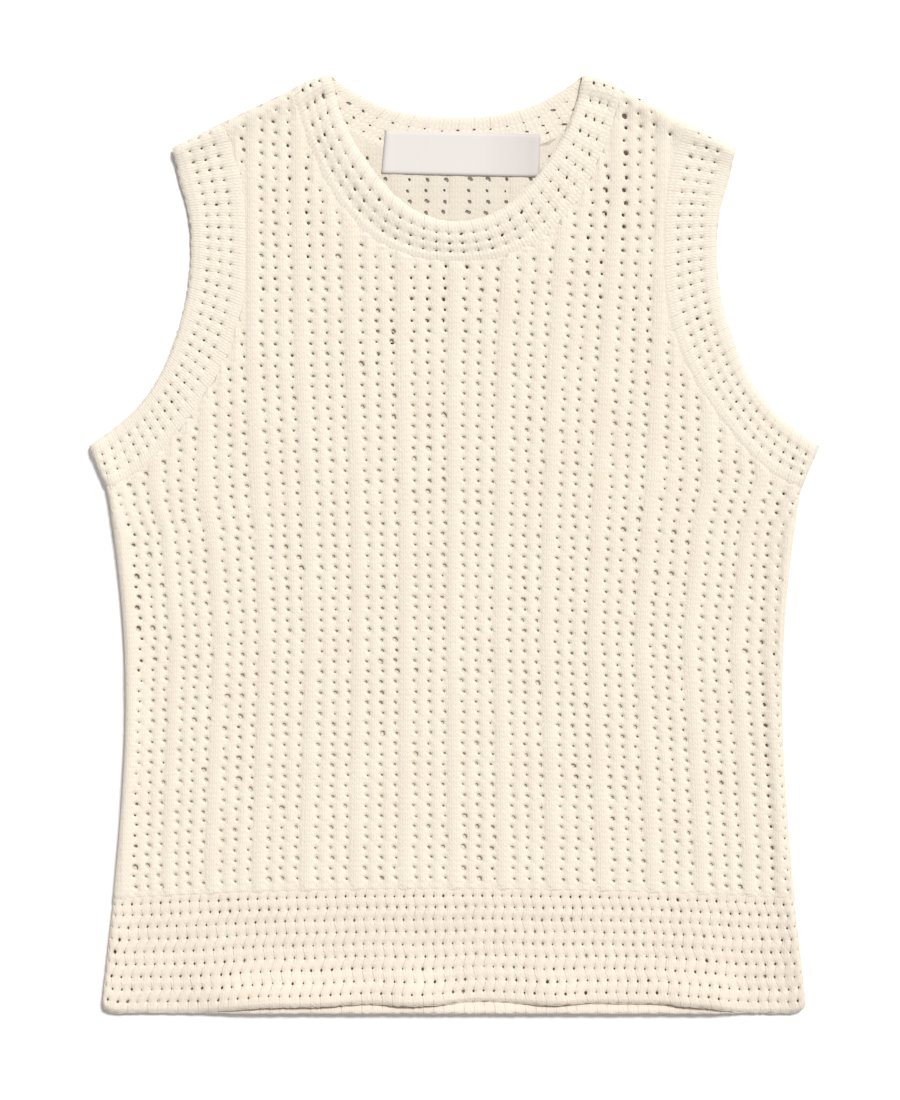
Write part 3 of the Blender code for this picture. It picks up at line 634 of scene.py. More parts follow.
def nearestFold(points):
    # distance inside the nearer of the side and shoulder folds, and the direction inwards
    x, y = points[:, 0], points[:, 1]
    side = np.where(x < 0, -1.0, 1.0)
    distance = np.full(len(points), 1e3)
    direction = np.column_stack([-side, np.zeros(len(points))])
    for hand in (-1.0, 1.0):
        here = side == hand
        dense = sides[hand][0]
        distance[here] = hand * (np.interp(-y[here], -dense[:, 1], dense[:, 0]) - x[here])
        start = toWorld(neckSeam[:1], hand, garment["neckShift"])[0]
        end = toWorld(armholeSeam[:1], hand)[0]
        lengthwise = (end - start) / np.hypot(*(end - start))
        inward = np.array([lengthwise[1], -lengthwise[0]])
        inward = inward if inward[1] < 0 else -inward
        shoulder = (points - start) @ inward
        nearer = here & (shoulder < distance)
        distance[nearer] = shoulder[nearer]
        direction[nearer] = inward
    return distance, direction


def panelSurface(layer):
    # away from a fold a point stays where it is, at the front's height or the back's; beside one
    # it goes round a circle: inwards by radius - r cos a, up by r sin a
    facing = 1.0 if layer == "front" else -1.0
    radius = garment["foldRadius"]

    def surface(flat, level, relief):
        distance, inward = nearestFold(flat)
        angle = np.clip((distance + rollExtra) / radius, 0.0, math.pi / 2)
        onRoll = distance + rollExtra < rollArc
        turned = np.where(onRoll, np.sin(angle), 1.0) * facing
        depth = depthBelow(garment["panelWall"], level, relief, turned)
        reach = np.where(onRoll, radius - (radius - depth) * np.cos(angle), distance)
        spot = flat + inward * (reach - distance)[:, None]
        base = frontTop(spot) - depth if layer == "front" else depth
        height = np.where(onRoll, radius + (radius - depth) * turned, base)
        return np.column_stack([spot, height])

    return surface


ribs = {
    "groups": 14,             # groups of three openwork columns with a wide rib between
    "column": 0.30,           # a column's distance from the next, as a share of the group
    "furrow": 0.392,          # a thin furrow here, where the wide rib begins
    "end": 0.43,              # and where the wide rib ends, before the next group
    "leftEnd": (-1.2, -0.9, -0.62),     # plain knit before the first group and after the last
    "rightEnd": (-0.43, -0.15, 0.2),
    "endCrests": (0.5, 0.75, 1.0),
    "rows": (-1.5, 78.0),
    "rowPitch": 6.2,          # of the rows below the first one
    "rowReach": (25.0, 18.0),  # rows keep their slope this far past the outer places
    "furrowRelief": 0.32,
    "narrowCrest": 0.7,
    "wideStart": 0.9,
    "wideCrest": 1.0,
    "wideMiddle": 0.95,
    "plainMiddle": 0.6,
    "bar": 0.22,              # height of the yarn between two holes of a column
    "closedHole": 0.4,        # share of it in the middle of a closed hole
    "stitchBump": 0.06,
    "holeRadius": (1.56, 1.2),
    "tilt": -55.0,            # degrees
    "tiltSpread": 16.0,
    "zigzag": -0.55,          # the first row's holes lie this much to the side, the next ones' back
    "wander": 0.22,           # unevenness of a hole's place
    "sizeSpread": 0.2,
    "sizeLimits": (0.5, 1.25),
    "drawn": 1.3,             # holes beside a band are this much wider
    "drawnReach": 5.2,
    "closed": 0.5,            # and those beside a fold are closed to this share on the inside
    "closedReach": 9.0,
    "throats": {
        # lip is the share of its narrowing that a hole has half way down
        "front": {"throat": 0.56, "openThroat": 0.92, "openFrom": 0.9, "lip": 0.7},
        "back": {"throat": 0.9, "openThroat": 1.05, "openFrom": 0.8, "lip": 2.2},
    },
    "fade": 2.8,              # ribs sink over this distance from a panel's end
    "walesAGroup": 10,
    "coursesARow": 2,
}

# Middles of some of the rib groups, a row for each height on the garment
ribPlaces = (
    # down, group 0, 1, 3, 4, 9, 10, 12, 13
    (69.0, -192.0, -162.0, -107.8, -79.8, 83.2, 111.0, 165.0, 193.0),
    (169.2, -192.0, -163.6, -106.6, -76.4, 75.4, 106.8, 166.8, 198.0),
    (235.2, -195.0, -165.0, -103.2, -73.8, 72.9, 103.2, 169.8, 200.0),
    (255.0, -189.9, -163.8, -102.3, -72.9, 72.0, 102.0, 165.0, 193.0),
    (268.2, -184.8, -159.6, -101.7, -72.3, 71.4, 101.1, 162.0, 187.8),
    (334.2, -180.0, -154.2, -99.6, -71.4, 69.6, 97.8, 155.4, 183.6),
    (466.2, -184.2, -159.6, -103.5, -73.8, 73.8, 104.4, 162.6, 190.8),
)
ribGroups = (0, 1, 3, 4, 9, 10, 12, 13)

# How far down some of the rows of holes lie at five places across
rowPlaces = (
    # row, far left, left, centre, right, far right
    (0, 486.6, 482.4, 481.8, 483.6, 488.4),
    (10, 424.8, 421.2, 419.4, 421.8, 426.6),
    (21, 357.0, 352.8, 351.0, 354.6, 360.0),
    (36, 262.8, 258.0, 256.2, 260.4, 262.8),
    (45, 209.4, 201.0, 197.4, 203.4, 210.6),
    (57, 117.0, 122.4, 121.8, 127.8, 130.2),
    (64, 65.4, 76.2, 75.6, 76.8, 69.0),
    (72, 5.4, 21.6, 24.0, 16.8, 3.0),
    (80, -50.0, -34.0, -28.0, -44.0, -60.0),
)
rowStops = (-180.0, -107.0, 0.0, 107.0, 190.0)


def grid(rows, columns, row, column):
    # straight interpolation in a small table, first down its rows, then between its columns
    table = np.array(rows, float)
    steps = np.array([np.interp(row, table[:, 0], table[:, i + 1]) for i in range(len(columns))])
    k = np.clip(np.searchsorted(columns, column, side="right") - 1, 0, len(columns) - 2)
    a, b = np.take(columns, k), np.take(columns, k + 1)
    f = (column - a) / (b - a)
    each = np.arange(steps.shape[1])
    return steps[k, each] * (1 - f) + steps[k + 1, each] * f


def panelPlace(layer):
    # a group number and a row number as x and y: the row's height depends a little on x
    def place(group, row):
        middle = np.interp(row, [r[0] for r in rowPlaces], [r[3] for r in rowPlaces])
        x = grid(ribPlaces, ribGroups, middle, group)
        reach = ribs["rowReach"]
        across = np.clip(x, rowStops[0] - reach[0], rowStops[-1] + reach[1])
        down = grid(rowPlaces, rowStops, row, across)
        down = down + np.where(row < 0, -row * ribs["rowPitch"], 0.0)
        if layer == "back":
            x, down = backDrift(x, down)
        return np.column_stack([x, garment["length"] / 2 - down])

    return place


backKnit = {
    "upperStretch": 1.12,     # the back's knit is looser below its neck
    "upperDown": (90.0, 210.0),
    "drift": (0.9, 1.3),      # slow sideways and lengthwise shifts against the front's knit
    "driftLength": (145.0, 190.0),
    "driftPhase": 1.3,
    "driftSlant": 0.013,
    "shift": (3.9, 2.6),
}


def backDrift(x, down):
    # looser below the neck, and shifted by slow sines, so that few of its holes meet the front's
    start, end = backKnit["upperDown"]
    near = 1.0 - smoothStep((down - start) / (end - start))
    x = x * (1.0 + (backKnit["upperStretch"] - 1.0) * near)
    wave = 2 * math.pi / np.array(backKnit["driftLength"])
    across, along = backKnit["drift"]
    sideways = across * np.sin(x * wave[0] + backKnit["driftPhase"]) + across * np.sin(down * wave[1])
    lengthwise = along * np.sin(down * wave[0] + x * backKnit["driftSlant"])
    shift = 1.0 - near
    x = x + shift * (backKnit["shift"][0] + sideways)
    down = down + shift * (backKnit["shift"][1] + lengthwise)
    return x, down


def thirds(count):
    # the corners of a row of cells, and the places a third and two thirds of the way between
    # them: each one's place in cells, whether it is between two corners, and its cell's number
    number = np.arange(3 * count + 1)
    return number / 3.0, number % 3 != 0, np.minimum(number // 3, count - 1)


def scatterHoles(size, look):
    # normal chance in each hole's place, size and tilt; every other row's holes lie to the side
    side = np.where(np.arange(size[1]) % 2 == 0, 1.0, -1.0)
    shift = random.normal(0.0, look["wander"], (*size, 2))
    shift[..., 0] += look["zigzag"] * side[None, :]
    spread = 1.0 + random.normal(0.0, look["sizeSpread"], (*size, 1))
    return {
        "radius": np.array(look["holeRadius"]) * np.clip(spread, *look["sizeLimits"]),
        "tilt": np.radians(random.normal(look["tilt"], look["tiltSpread"], size)),
        "shift": shift,
        "throat": holeThroats(size, look),
        "lip": look["lip"],
    }


def panelPattern(layer, half):
    # columns and rows of cells for one half of a panel, with the ribs' heights at their corners: a
    # column's edge is its group's number plus a share, and a hole's middle is on the group's number
    # or a column to its side; the halves meet in the furrow beside the middle wide rib, where the
    # join doesn't show
    column, furrow, end = ribs["column"], ribs["furrow"], ribs["end"]
    first = (end - column) / (end - column / 2)
    last = (column / 2) / (furrow - column / 2)
    edges, kinds = [*ribs["leftEnd"]], ["plain", "plain", "rib"]
    crests, middles = [*ribs["endCrests"]], [0.5] * 3
    for group in range(ribs["groups"]):
        edges += [group - end, group - column / 2, group + column / 2, group + furrow]
        kinds += ["hole", "hole", "hole", "rib"]
        crests += [ribs["wideStart"], ribs["narrowCrest"], ribs["narrowCrest"], ribs["furrowRelief"]]
        middles += [first, 0.5, last, 0.5]
    edges += [ribs["groups"] + place for place in ribs["rightEnd"]]
    kinds += ["plain", "plain"]
    crests += ribs["endCrests"][::-1]
    middles += [0.5] * 2
    split = len(ribs["leftEnd"]) + 4 * (ribs["groups"] // 2) - 1
    keep = slice(0, split + 1) if half == "left" else slice(split, None)
    cells = slice(0, split) if half == "left" else slice(split, None)
    edges, crests = np.array(edges)[keep], np.array(crests)[keep]
    kinds, middles = np.array(kinds)[cells], np.array(middles)[cells]
    rows = np.arange(*ribs["rows"])
    countC, countR = len(kinds), len(rows) - 1
    hole, rib = kinds == "hole", kinds == "rib"
    isOpen = np.repeat(hole[:, None], countR, axis=1)
    isOpen[:, 0] = False
    # between the corners the height follows them on the ribs, and is the bar's over a hole
    at, between, columnOf = thirds(countC)
    crest = np.interp(at, np.arange(countC + 1), crests)
    crest[between & hole[columnOf]] = ribs["bar"]
    crest[between & rib[columnOf]] = ribs["wideCrest"]
    bump = ribs["stitchBump"] * np.where(thirds(countR)[1], 0.5, -1.0)
    plain = np.where(rib, ribs["wideMiddle"], ribs["plainMiddle"])
    middleRelief = np.where(hole, ribs["bar"] * ribs["closedHole"], plain)
    return {
        "columns": edges,
        "rows": rows,
        "middle": middles,
        "open": isOpen,
        "relief": crest[:, None] + bump[None, :],
        "middleRelief": np.repeat(middleRelief[:, None], countR, axis=1),
        "fade": ribs["fade"],
        "scale": lambda flat: np.ones((len(flat), 2)),
        "uv": lambda a, b: np.column_stack([a * ribs["walesAGroup"], b * ribs["coursesARow"]]),
        **scatterHoles((countC, countR), {**ribs, **ribs["throats"][layer]}),
    }


def makePanel(layer):
    # the lattice of each half, cut to the panel's outline and rolled at the folds
    limit, surface = panelOutline(layer), panelSurface(layer)
    return [
        knitMesh(layer + "_knit_" + half, panelPattern(layer, half), panelPlace(layer), surface, limit)
        for half in ("left", "right")
    ]


def bandSurface(band):
    # flat points are (distance round the band, share from its free edge to its seam): a point goes
    # along both lines by the same share, then between them, and round the folds as a panel does
    radius = garment["foldRadius"]
    spans = {}
    for layer in ("front", "back"):
        edge, seam = (line[1][-1] for line in band[layer])
        spans[layer] = (edge + seam) / 2 + 2 * rollExtra
    wholeSpan = spans["front"] + spans["back"]

    def between(layer, share, reach, onRoll, atStart, w):
        spots = []
        for line in band[layer]:
            length = line[1][-1]
            straight = radius + share * (length - 2 * radius)
            turned = np.where(atStart, reach, length - reach)
            spots.append(alongLine(line, np.where(onRoll, turned, straight)))
        spot = spots[0] * (1.0 - w) + spots[1] * w
        # the bow is a parabola across the band, and a bell curve away from each fold
        bells = sum(np.exp(-((part / backNeck["bowReach"]) ** 2)) for part in (share, 1.0 - share))
        spot[:, 1] += (4.0 * w * (1.0 - w))[:, 0] * band.get("bow", 0.0) * np.where(onRoll, 1.0, bells)
        return spot

    def surface(flat, level, relief):
        around, w = flat[:, 0] % wholeSpan, flat[:, 1:2]
        if band.get("open"):
            onFront = np.full(len(flat), band["open"] == "front")
            u, span = flat[:, 0], np.full(len(flat), spans[band["open"]])
        else:
            onFront = around < spans["front"]
            u = np.where(onFront, around, wholeSpan - around)
            span = np.where(onFront, spans["front"], spans["back"])
        q = np.minimum(u, span - u)
        onRoll = q < rollArc
        angle = np.clip(q / radius, 0.0, math.pi / 2)
        facing = np.where(onRoll, np.sin(angle), 1.0) * np.where(onFront, 1.0, -1.0)
        depth = depthBelow(garment["bandWall"], level, relief, facing)
        reach = radius - (radius - depth) * np.cos(angle)
        share = np.clip((u - rollArc) / (span - 2 * rollArc), 0.0, 1.0)
        atStart = u < span / 2
        blend = ((1.0 + facing) / 2)[:, None]
        spot = between("front", share, reach, onRoll, atStart, w) * blend
        spot += between("back", share, reach, onRoll, atStart, w) * (1.0 - blend)
        curl = 0.0
        if band.get("open") == "back":
            up = (spot[:, 1] + garment["length"] / 2) / hem["backCurlReach"]
            parted = smoothStep(hemRise(spot[:, 0]) / hem["freeRise"])
            free = hem["curlAtEnds"] + (1.0 - hem["curlAtEnds"]) * parted
            curl = hem["backCurl"] * free * np.exp(-(up**2))
        base = np.where(onFront, frontTop(spot) - depth, depth + curl)
        height = np.where(onRoll, radius + (radius - depth) * facing, base)
        return np.column_stack([spot, height])

    return surface, spans


# A band has its free edge and its seam on each layer; it goes all round, or is open on one layer
def armBand(side):
    # both layers have the same lines
    lines = (smoothLine(toWorld(armholeEdge, side)), smoothLine(toWorld(armholeSeam, side)))
    return {"front": lines, "back": lines}


def neckBand():
    # the neck's two lines in front, and flattened half ellipses behind
    return {
        "front": (frontNeckEdge, smoothLine(bothSides(neckSeam))),
        "back": (backNeckLine(0.0), backNeckLine(backNeck["bandWidth"])),
        "bow": backNeck["foldBow"],
    }


def hemBand(layer):
    # one layer only, from its free edge up to the parabola of the seam
    lines = (hemEdgeLine(layer == "front"), hemSeamLine())
    return {"front": lines, "back": lines, "open": layer}


armKnit = {
    "pitch": 6.9,             # between holes along the band
    "stretch": ((0.0, 1.0), (1.0, 1.0)),
    "rows": (
        # share from the free edge, height of the knit there, holes in the row above it
        (0.0, -1.45, 0), (0.016, -0.75, 0), (0.042, -0.15, 0), (0.085, 0.4, 0),
        (0.20, 0.72, 1),
        (0.41, 0.62, 1), (0.62, 0.62, 1), (0.83, 0.66, 0), (0.93, 0.6, 0),
        (1.0, 0.22, 0), (1.035, -0.25, 0),
    ),
    "holeRadius": (0.92, 1.0),
    "slant": 0.17,            # each row lies this share of a hole further along
    "zigzag": 0.0,
    "width": 30.0,
}
neckKnit = {
    "pitch": 8.0,
    "stretch": (
        # share of the way round, pitch there against the one above
        (0.0, 1.22), (0.15, 1.12), (0.29, 0.96), (0.44, 1.12), (0.58, 1.25), (0.8, 1.32), (1.0, 1.25),
    ),
    "rows": (
        # share from the free edge, height of the knit there, holes in the row above it
        (0.0, -1.45, 0), (0.020, -0.75, 0), (0.052, -0.15, 0), (0.10, 0.4, 0),
        (0.20, 0.72, 1),
        (0.44, 0.62, 1), (0.68, 0.62, 1), (0.86, 0.64, 0), (0.94, 0.55, 0),
        (1.0, 0.2, 0), (1.04, -0.25, 0),
    ),
    "holeRadius": (1.38, 0.80),
    "slant": 0.10,
    "zigzag": 0.0,
    "width": 24.6,
}
hemKnit = {
    "pitch": 5.96,
    "stretch": ((0.0, 0.94), (0.12, 1.0), (0.88, 1.0), (1.0, 0.94)),
    "rows": (
        # share from the free edge, height of the knit there, holes in the row above it
        (0.0, -1.6, 0), (0.009, -0.75, 0), (0.022, -0.2, 0), (0.046, 0.45, 1),
        (0.149, 0.6, 1),
        (0.256, 0.6, 1), (0.363, 0.6, 1), (0.469, 0.6, 1), (0.576, 0.6, 1),
        (0.683, 0.6, 1), (0.790, 0.6, 1), (0.893, 0.6, 1), (0.985, 0.3, 0),
        (1.015, -0.2, 0),
    ),
    "holeRadius": (0.86, 1.22),
    "slant": 0.0,
    "zigzag": 0.75,
    "width": 70.0,
}
bandLook = {
    "wander": 0.16,
    "sizeSpread": 0.2,
    "sizeLimits": (0.6, 1.3),
    "tilt": -12.0,            # degrees
    "tiltSpread": 14.0,
    "endGap": 0.02,           # a band that doesn't go all round ends this far from its fold
    "rowShare": 0.22,         # the rows' distance, which slant is counted by
    "uneven": 0.22,           # how far the stitches stand in and out along the free edge
    "unevenReach": 1.6,
    "unevenWave": 2.2,        # radians a millimetre
    "unevenSway": 2.0,        # and how far, and how fast, that wave sways
    "unevenSwayWave": 0.41,
    "walesAHole": 2.0,
    "throat": 0.55,
    "openThroat": 0.85,
    "openFrom": 1.0,
    "lip": 1.0,
    "wale": 0.15,             # the knit stands this much higher between two holes of a row
    "course": 3.1,            # mm
    "pinch": 0.25,            # height between two holes, as taken off the crest beside them
}


def bandPattern(knit, start, end, loop):
    # columns along the band, their number up to a place the running sum of 1 / (pitch * stretch),
    # and rows at the shares given
    at = np.linspace(start, end, samples["band"])
    stretch = np.interp((at - start) / (end - start), *np.array(knit["stretch"]).T)
    number = np.concatenate([[0.0], np.cumsum(np.diff(at) / (knit["pitch"] * stretch[1:]))])
    count = int(round(number[-1]))
    columns = np.interp(np.linspace(0.0, number[-1], count + 1), number, at)
    shares, heights, holes = np.array(knit["rows"]).T
    holes = holes[:-1] > 0
    countR = len(holes)
    where, beside, rowOf = thirds(countR)
    height = np.interp(where, np.arange(countR + 1), heights)
    relief = np.repeat(height[None, :], 3 * count + 1, axis=0)
    betweenWales = thirds(count)[1]
    relief[np.ix_(~betweenWales, beside & holes[rowOf])] -= bandLook["pinch"]
    relief[np.ix_(betweenWales, ~beside & (height > 0.0))] -= bandLook["wale"]
    scattered = scatterHoles((count, countR), {**bandLook, **knit})
    scattered["radius"][..., 0] *= (np.diff(columns) / knit["pitch"])[:, None]
    middle = (heights[1:] + heights[:-1]) / 2
    return {
        "columns": columns,
        "rows": shares,
        "middle": np.full(count, 0.5),
        "open": np.repeat(holes[None, :], count, axis=0),
        "relief": relief,
        "middleRelief": np.repeat(middle[None, :], count, axis=0),
        "scale": lambda flat: np.column_stack([np.ones(len(flat)), np.full(len(flat), knit["width"])]),
        "uv": lambda a, b: np.column_stack([
            np.interp(a, columns, np.arange(count + 1.0)) * bandLook["walesAHole"],
            b * knit["width"] / bandLook["course"],
        ]),
        "loop": loop,
        **scattered,
    }


def makeBand(name, band, knit):
    # the band's lattice, from fold to fold on one layer or all the way round
    surface, spans = bandSurface(band)
    if band.get("open"):
        gap = bandLook["endGap"]
        pattern = bandPattern(knit, gap, spans[band["open"]] - gap, False)
    else:
        pattern = bandPattern(knit, 0.0, spans["front"] + spans["back"], True)
        pattern["period"] = spans["front"] + spans["back"]

    def place(around, share):
        # each row lies a little further along; the free edge waves by uneven * sin(a phase that
        # itself wanders), fading over a few millimetres
        slant = knit["slant"] * knit["pitch"] * (share - 0.5) / bandLook["rowShare"]
        sway = bandLook["unevenSway"] * np.sin(around * bandLook["unevenSwayWave"])
        wave = np.sin(around * bandLook["unevenWave"] + sway)
        fading = np.exp(-((share * knit["width"] / bandLook["unevenReach"]) ** 2))
        uneven = bandLook["uneven"] / knit["width"] * wave * fading
        return np.column_stack([around + slant, share - uneven])

    return knitMesh(name, pattern, place, surface)


label = {
    "size": (94.0, 25.6),
    "centre": (4.6, 47.3),    # from the centre line, and down
    "turn": -1.3,             # degrees
    "base": 2.86,             # height of its underside
    "thickness": 0.45,
    "lean": 1.8,              # its left end leans by this much, lower corner outwards
    "hemFold": 5.0,           # its ends are turned under by this much
    "foldHeight": 0.22,       # and are that much thicker there
    "foldSoftness": 1.2,
    "edgeHeight": 0.55,       # share of its thickness that is left at its edge
    "edgeRadius": 0.5,
    "bulge": 0.35,
    "bulgePlace": 0.6,        # share above its middle at which the bulge has gone
    "columns": 48,
    "rows": 16,
}


def makeLabel():
    # a grid whose height is its thickness, more where the ends are turned under, plus a slight
    # bulge between the two ends; a second grid lies under it and a wall joins their edges
    u, v = np.meshgrid(*(np.linspace(-0.5, 0.5, label[count] + 1) for count in ("columns", "rows")))
    u, v = u.ravel(), v.ravel()
    width, height = label["size"]
    x, y = u * width + label["lean"] * v * (0.5 - u), v * height
    turn = math.radians(label["turn"])
    centre = toWorld([(label["centre"][1], label["centre"][0])])[0]
    flatX = centre[0] + x * math.cos(turn) - y * math.sin(turn)
    flatY = centre[1] + x * math.sin(turn) + y * math.cos(turn)
    fromEnd = width * (0.5 - np.abs(u))
    fromEdge = np.minimum(fromEnd, height / 2 - np.abs(y))
    folded = 1.0 - smoothStep((fromEnd - label["hemFold"]) / label["foldSoftness"])
    rounded = np.sqrt(np.clip(fromEdge / label["edgeRadius"], 0.0, 1.0))
    share = label["edgeHeight"] + (1.0 - label["edgeHeight"]) * rounded
    rise = label["thickness"] * share + label["foldHeight"] * folded * rounded
    swell = label["bulge"] * (1.0 - (2 * u) ** 2) * (label["bulgePlace"] - v)
    top = np.column_stack([flatX, flatY, label["base"] + rise + swell])
    under = np.column_stack([flatX, flatY, label["base"] + swell])
    wide = label["columns"] + 1
    number = np.arange(len(x)).reshape(label["rows"] + 1, wide)
    a, b, c, d = (n.ravel() for n in (number[:-1, :-1], number[:-1, 1:], number[1:, 1:], number[1:, :-1]))
    rim = np.concatenate([number[0, :], number[1:, -1], number[-1, -2::-1], number[-2:0:-1, 0]])
    after = np.roll(rim, -1)
    step = len(x)
    quads = np.vstack([
        np.column_stack([a, b, c, d]),
        np.column_stack([a, d, c, b]) + step,
        np.column_stack([after, rim, rim + step, after + step]),
    ])
    uv = np.column_stack([x, y]) / label["size"]
    points, uvs, noTriangles = np.vstack([top, under]), np.vstack([uv, uv]), np.zeros((0, 3), int)
    return makeMesh("neck_label_satin", points, uvs, quads, noTriangles, {}, [], [])


def linear(hexColour):
    # sRGB hex to linear: c / 12.92 below 0.04045, ((c + 0.055) / 1.055) ^ 2.4 above
    parts = [int(hexColour[i:i + 2], 16) / 255 for i in (1, 3, 5)]
    parts = [p / 12.92 if p <= 0.04045 else ((p + 0.055) / 1.055) ** 2.4 for p in parts]
    return (*parts, 1.0)


def addNode(tree, kind, settings=None, **links):
    # a node of the kind, its settings and fixed inputs set, its other inputs linked; an input is
    # named by its label with _ for spaces, or in0, in1 and in2 for its number
    node = tree.nodes.new("ShaderNode" + kind)
    for key, value in (settings or {}).items():
        setattr(node, key, value)
    for key, value in links.items():
        number = key[2:] if key[:2] == "in" else ""
        socket = node.inputs[int(number) if number.isdigit() else key.replace("_", " ")]
        if isinstance(value, bpy.types.NodeSocket):
            tree.links.new(value, socket)
        else:
            socket.default_value = value
    return node


def newMaterial(name):
    # an empty material: itself, its node tree and its shader
    material = bpy.data.materials.new(name)
    material.use_nodes = True
    return material, material.node_tree, material.node_tree.nodes["Principled BSDF"]


cotton = {
    "panel": "#f4e9db",
    "band": "#f4ebdf",
    "hem": "#f0e1d4",
    # painted shade: the back panels' cotton is darker than the front's, for the shade that falls on the back
    # inside the neck opening
    "back": "#e0d7cb",
    "line": "#b9a587",        # broken dark hairlines: painted shade along the furrow beside each wide rib on the panels, lines along the columns of holes on the bands
    "lineBreak": 260.0,       # their breaks come about every 4 mm
    "lineBreakShare": (0.4, 0.6, 0.1),  # noise from and to which a line comes out, and its least
    "deep": "#ecdfc9",        # painted shade between the stitches
    "pale": "#f7efe0",        # fuzz on the crests
    "blotchScale": 55.0,      # features of about 18 mm
    "blotchShare": (0.35, 0.7, 0.35),   # noise from and to which fuzz shows, and how strongly
    "roughness": 0.95,
    "sheen": 0.2,
    "stitchDepth": 0.00012,
    "fibreDepth": 0.00026,
    "fibreScale": 700.0,      # features of about 1.4 mm
    "legSlope": 0.75,         # how far a stitch's legs run up from its middle
}
# Hairlines: their distance in wales, their place as a share of it, and how wide and strong they are; on the
# panels they are painted shade along the furrow beside each wide rib
ribFurrowShade = {"distance": 10.0, "place": 0.38, "width": 0.014, "strength": 0.42}
bandHairline = {"distance": 2.0, "place": 0.5, "width": 0.07, "strength": 0.28}
hemHairline = {"distance": 2.0, "place": 0.5, "width": 0.1, "strength": 0.45}


def cottonMaterial(name, tint, line):
    # Soft-spun cotton yarn, knitted: matt, with a light fuzz. Each stitch is a V of two legs, with painted
    # shade in the gaps between the stitches and, on the panels, along each rib's furrow.
    material, tree, shader = newMaterial(name)
    coordinates = addNode(tree, "TexCoord")
    place = coordinates.outputs["Object"]
    parts = addNode(tree, "SeparateXYZ", in0=coordinates.outputs["UV"])
    steps = [
        # name, operation, inputs: numbers or the names of earlier steps
        # leg: distance from the wale's middle, 0 to 1, is |2 fract(u) - 1|
        ("wale", "FRACT", "u"), ("twice", "MULTIPLY", "wale", 2.0), ("side", "SUBTRACT", "twice", 1.0),
        ("leg", "ABSOLUTE", "side"),
        # up: place along a leg, 0 to 1, is fract(v - slope * leg)
        ("rise", "MULTIPLY", "leg", cotton["legSlope"]), ("course", "SUBTRACT", "v", "rise"),
        ("up", "FRACT", "course"),
        # lineAway: |fract(u / distance - place + 0.5) - 0.5|
        ("lines", "DIVIDE", "u", line["distance"]), ("placed", "ADD", "lines", 0.5 - line["place"]),
        ("phase", "FRACT", "placed"), ("side", "SUBTRACT", "phase", 0.5), ("lineAway", "ABSOLUTE", "side"),
    ]
    # the leg's section is 1 - |2 leg - 1|^2, and its length is rounded as 1 - |2 up - 1|^3
    for result, value, power in (("section", "leg", 2.0), ("lengthwise", "up", 3.0)):
        steps += [
            ("twice", "MULTIPLY", value, 2.0), ("side", "SUBTRACT", "twice", 1.0),
            ("away", "ABSOLUTE", "side"), ("raised", "POWER", "away", power),
            (result, "SUBTRACT", 1.0, "raised"),
        ]
    steps += [("stitch", "MULTIPLY", "section", "lengthwise")]
    made = {"u": parts.outputs[0], "v": parts.outputs[1]}
    for step, operation, *inputs in steps:
        links = {"in" + str(i): made.get(value, value) for i, value in enumerate(inputs)}
        made[step] = addNode(tree, "Math", {"operation": operation}, **links).outputs[0]
    noise = {}
    for kind, scale, detail, rough in (("fibre", "fibreScale", 2.0, 0.6), ("blotch", "blotchScale", 3.0, 0.6),
                                       ("chance", "lineBreak", 1.0, 0.5)):
        noise[kind] = addNode(
            tree, "TexNoise", None, Vector=place, Scale=cotton[scale], Detail=detail, Roughness=rough,
        ).outputs["Fac"]
    # each map: the value, and what it goes from and to
    start, end, most = cotton["blotchShare"]
    mottled = addNode(tree, "MapRange", None, Value=noise["blotch"], in1=start, in2=end, in3=0.0, in4=most)
    start, end, least = cotton["lineBreakShare"]
    broken = addNode(tree, "MapRange", None, Value=noise["chance"], in1=start, in2=end, in3=least, in4=1.0)
    near = addNode(
        tree, "MapRange", {"interpolation_type": "SMOOTHSTEP"}, Value=made["lineAway"],
        in1=0.0, in2=line["width"], in3=line["strength"], in4=0.0,
    )
    multiply, subtract = ({"operation": name} for name in ("MULTIPLY", "SUBTRACT"))
    # the hairline darkens the colour and sinks the bump; on the panels it is painted shade along the rib's
    # furrow
    hairline = addNode(tree, "Math", multiply, in0=near.outputs[0], in1=broken.outputs[0]).outputs[0]
    sunken = addNode(tree, "Math", subtract, in0=made["stitch"], in1=hairline).outputs[0]
    # painted shade between the stitches, the yarn's own colour, the fuzz, and the hairlines (on the panels
    # painted shade along the furrow), one on another
    colour = linear(cotton["deep"])
    layers = (made["stitch"], tint), (mottled.outputs[0], cotton["pale"]), (hairline, cotton["line"])
    for share, over in layers:
        colour = addNode(tree, "MixRGB", None, Fac=share, Color1=colour, Color2=linear(over)).outputs[0]
    # both bumps, the stitches' under the fibres'
    bump = addNode(tree, "Bump", None, Strength=1.0, Distance=cotton["stitchDepth"], Height=sunken).outputs[0]
    fibres = {"Distance": cotton["fibreDepth"], "Height": noise["fibre"]}
    bump = addNode(tree, "Bump", None, Strength=1.0, Normal=bump, **fibres)
    tree.links.new(colour, shader.inputs["Base Color"])
    tree.links.new(bump.outputs[0], shader.inputs["Normal"])
    shader.inputs["Roughness"].default_value = cotton["roughness"]
    shader.inputs["Sheen Weight"].default_value = cotton["sheen"]
    shader.inputs["Sheen Roughness"].default_value = 0.5
    return material


satin = {
    "colour": "#e8e1dc",
    "shade": "#d9d1cc",       # painted shade towards its right end, cast by the raised front
    "shadeFrom": 0.1,         # share of its length right of the middle
    "roughness": 0.5,
    "sheen": 0.1,
    "threadPitch": 0.5,       # mm; a real one is 0.15, too fine to show
    "warpShare": 0.6,         # of as many threads lengthwise
    "threadDepth": 0.00004,
}


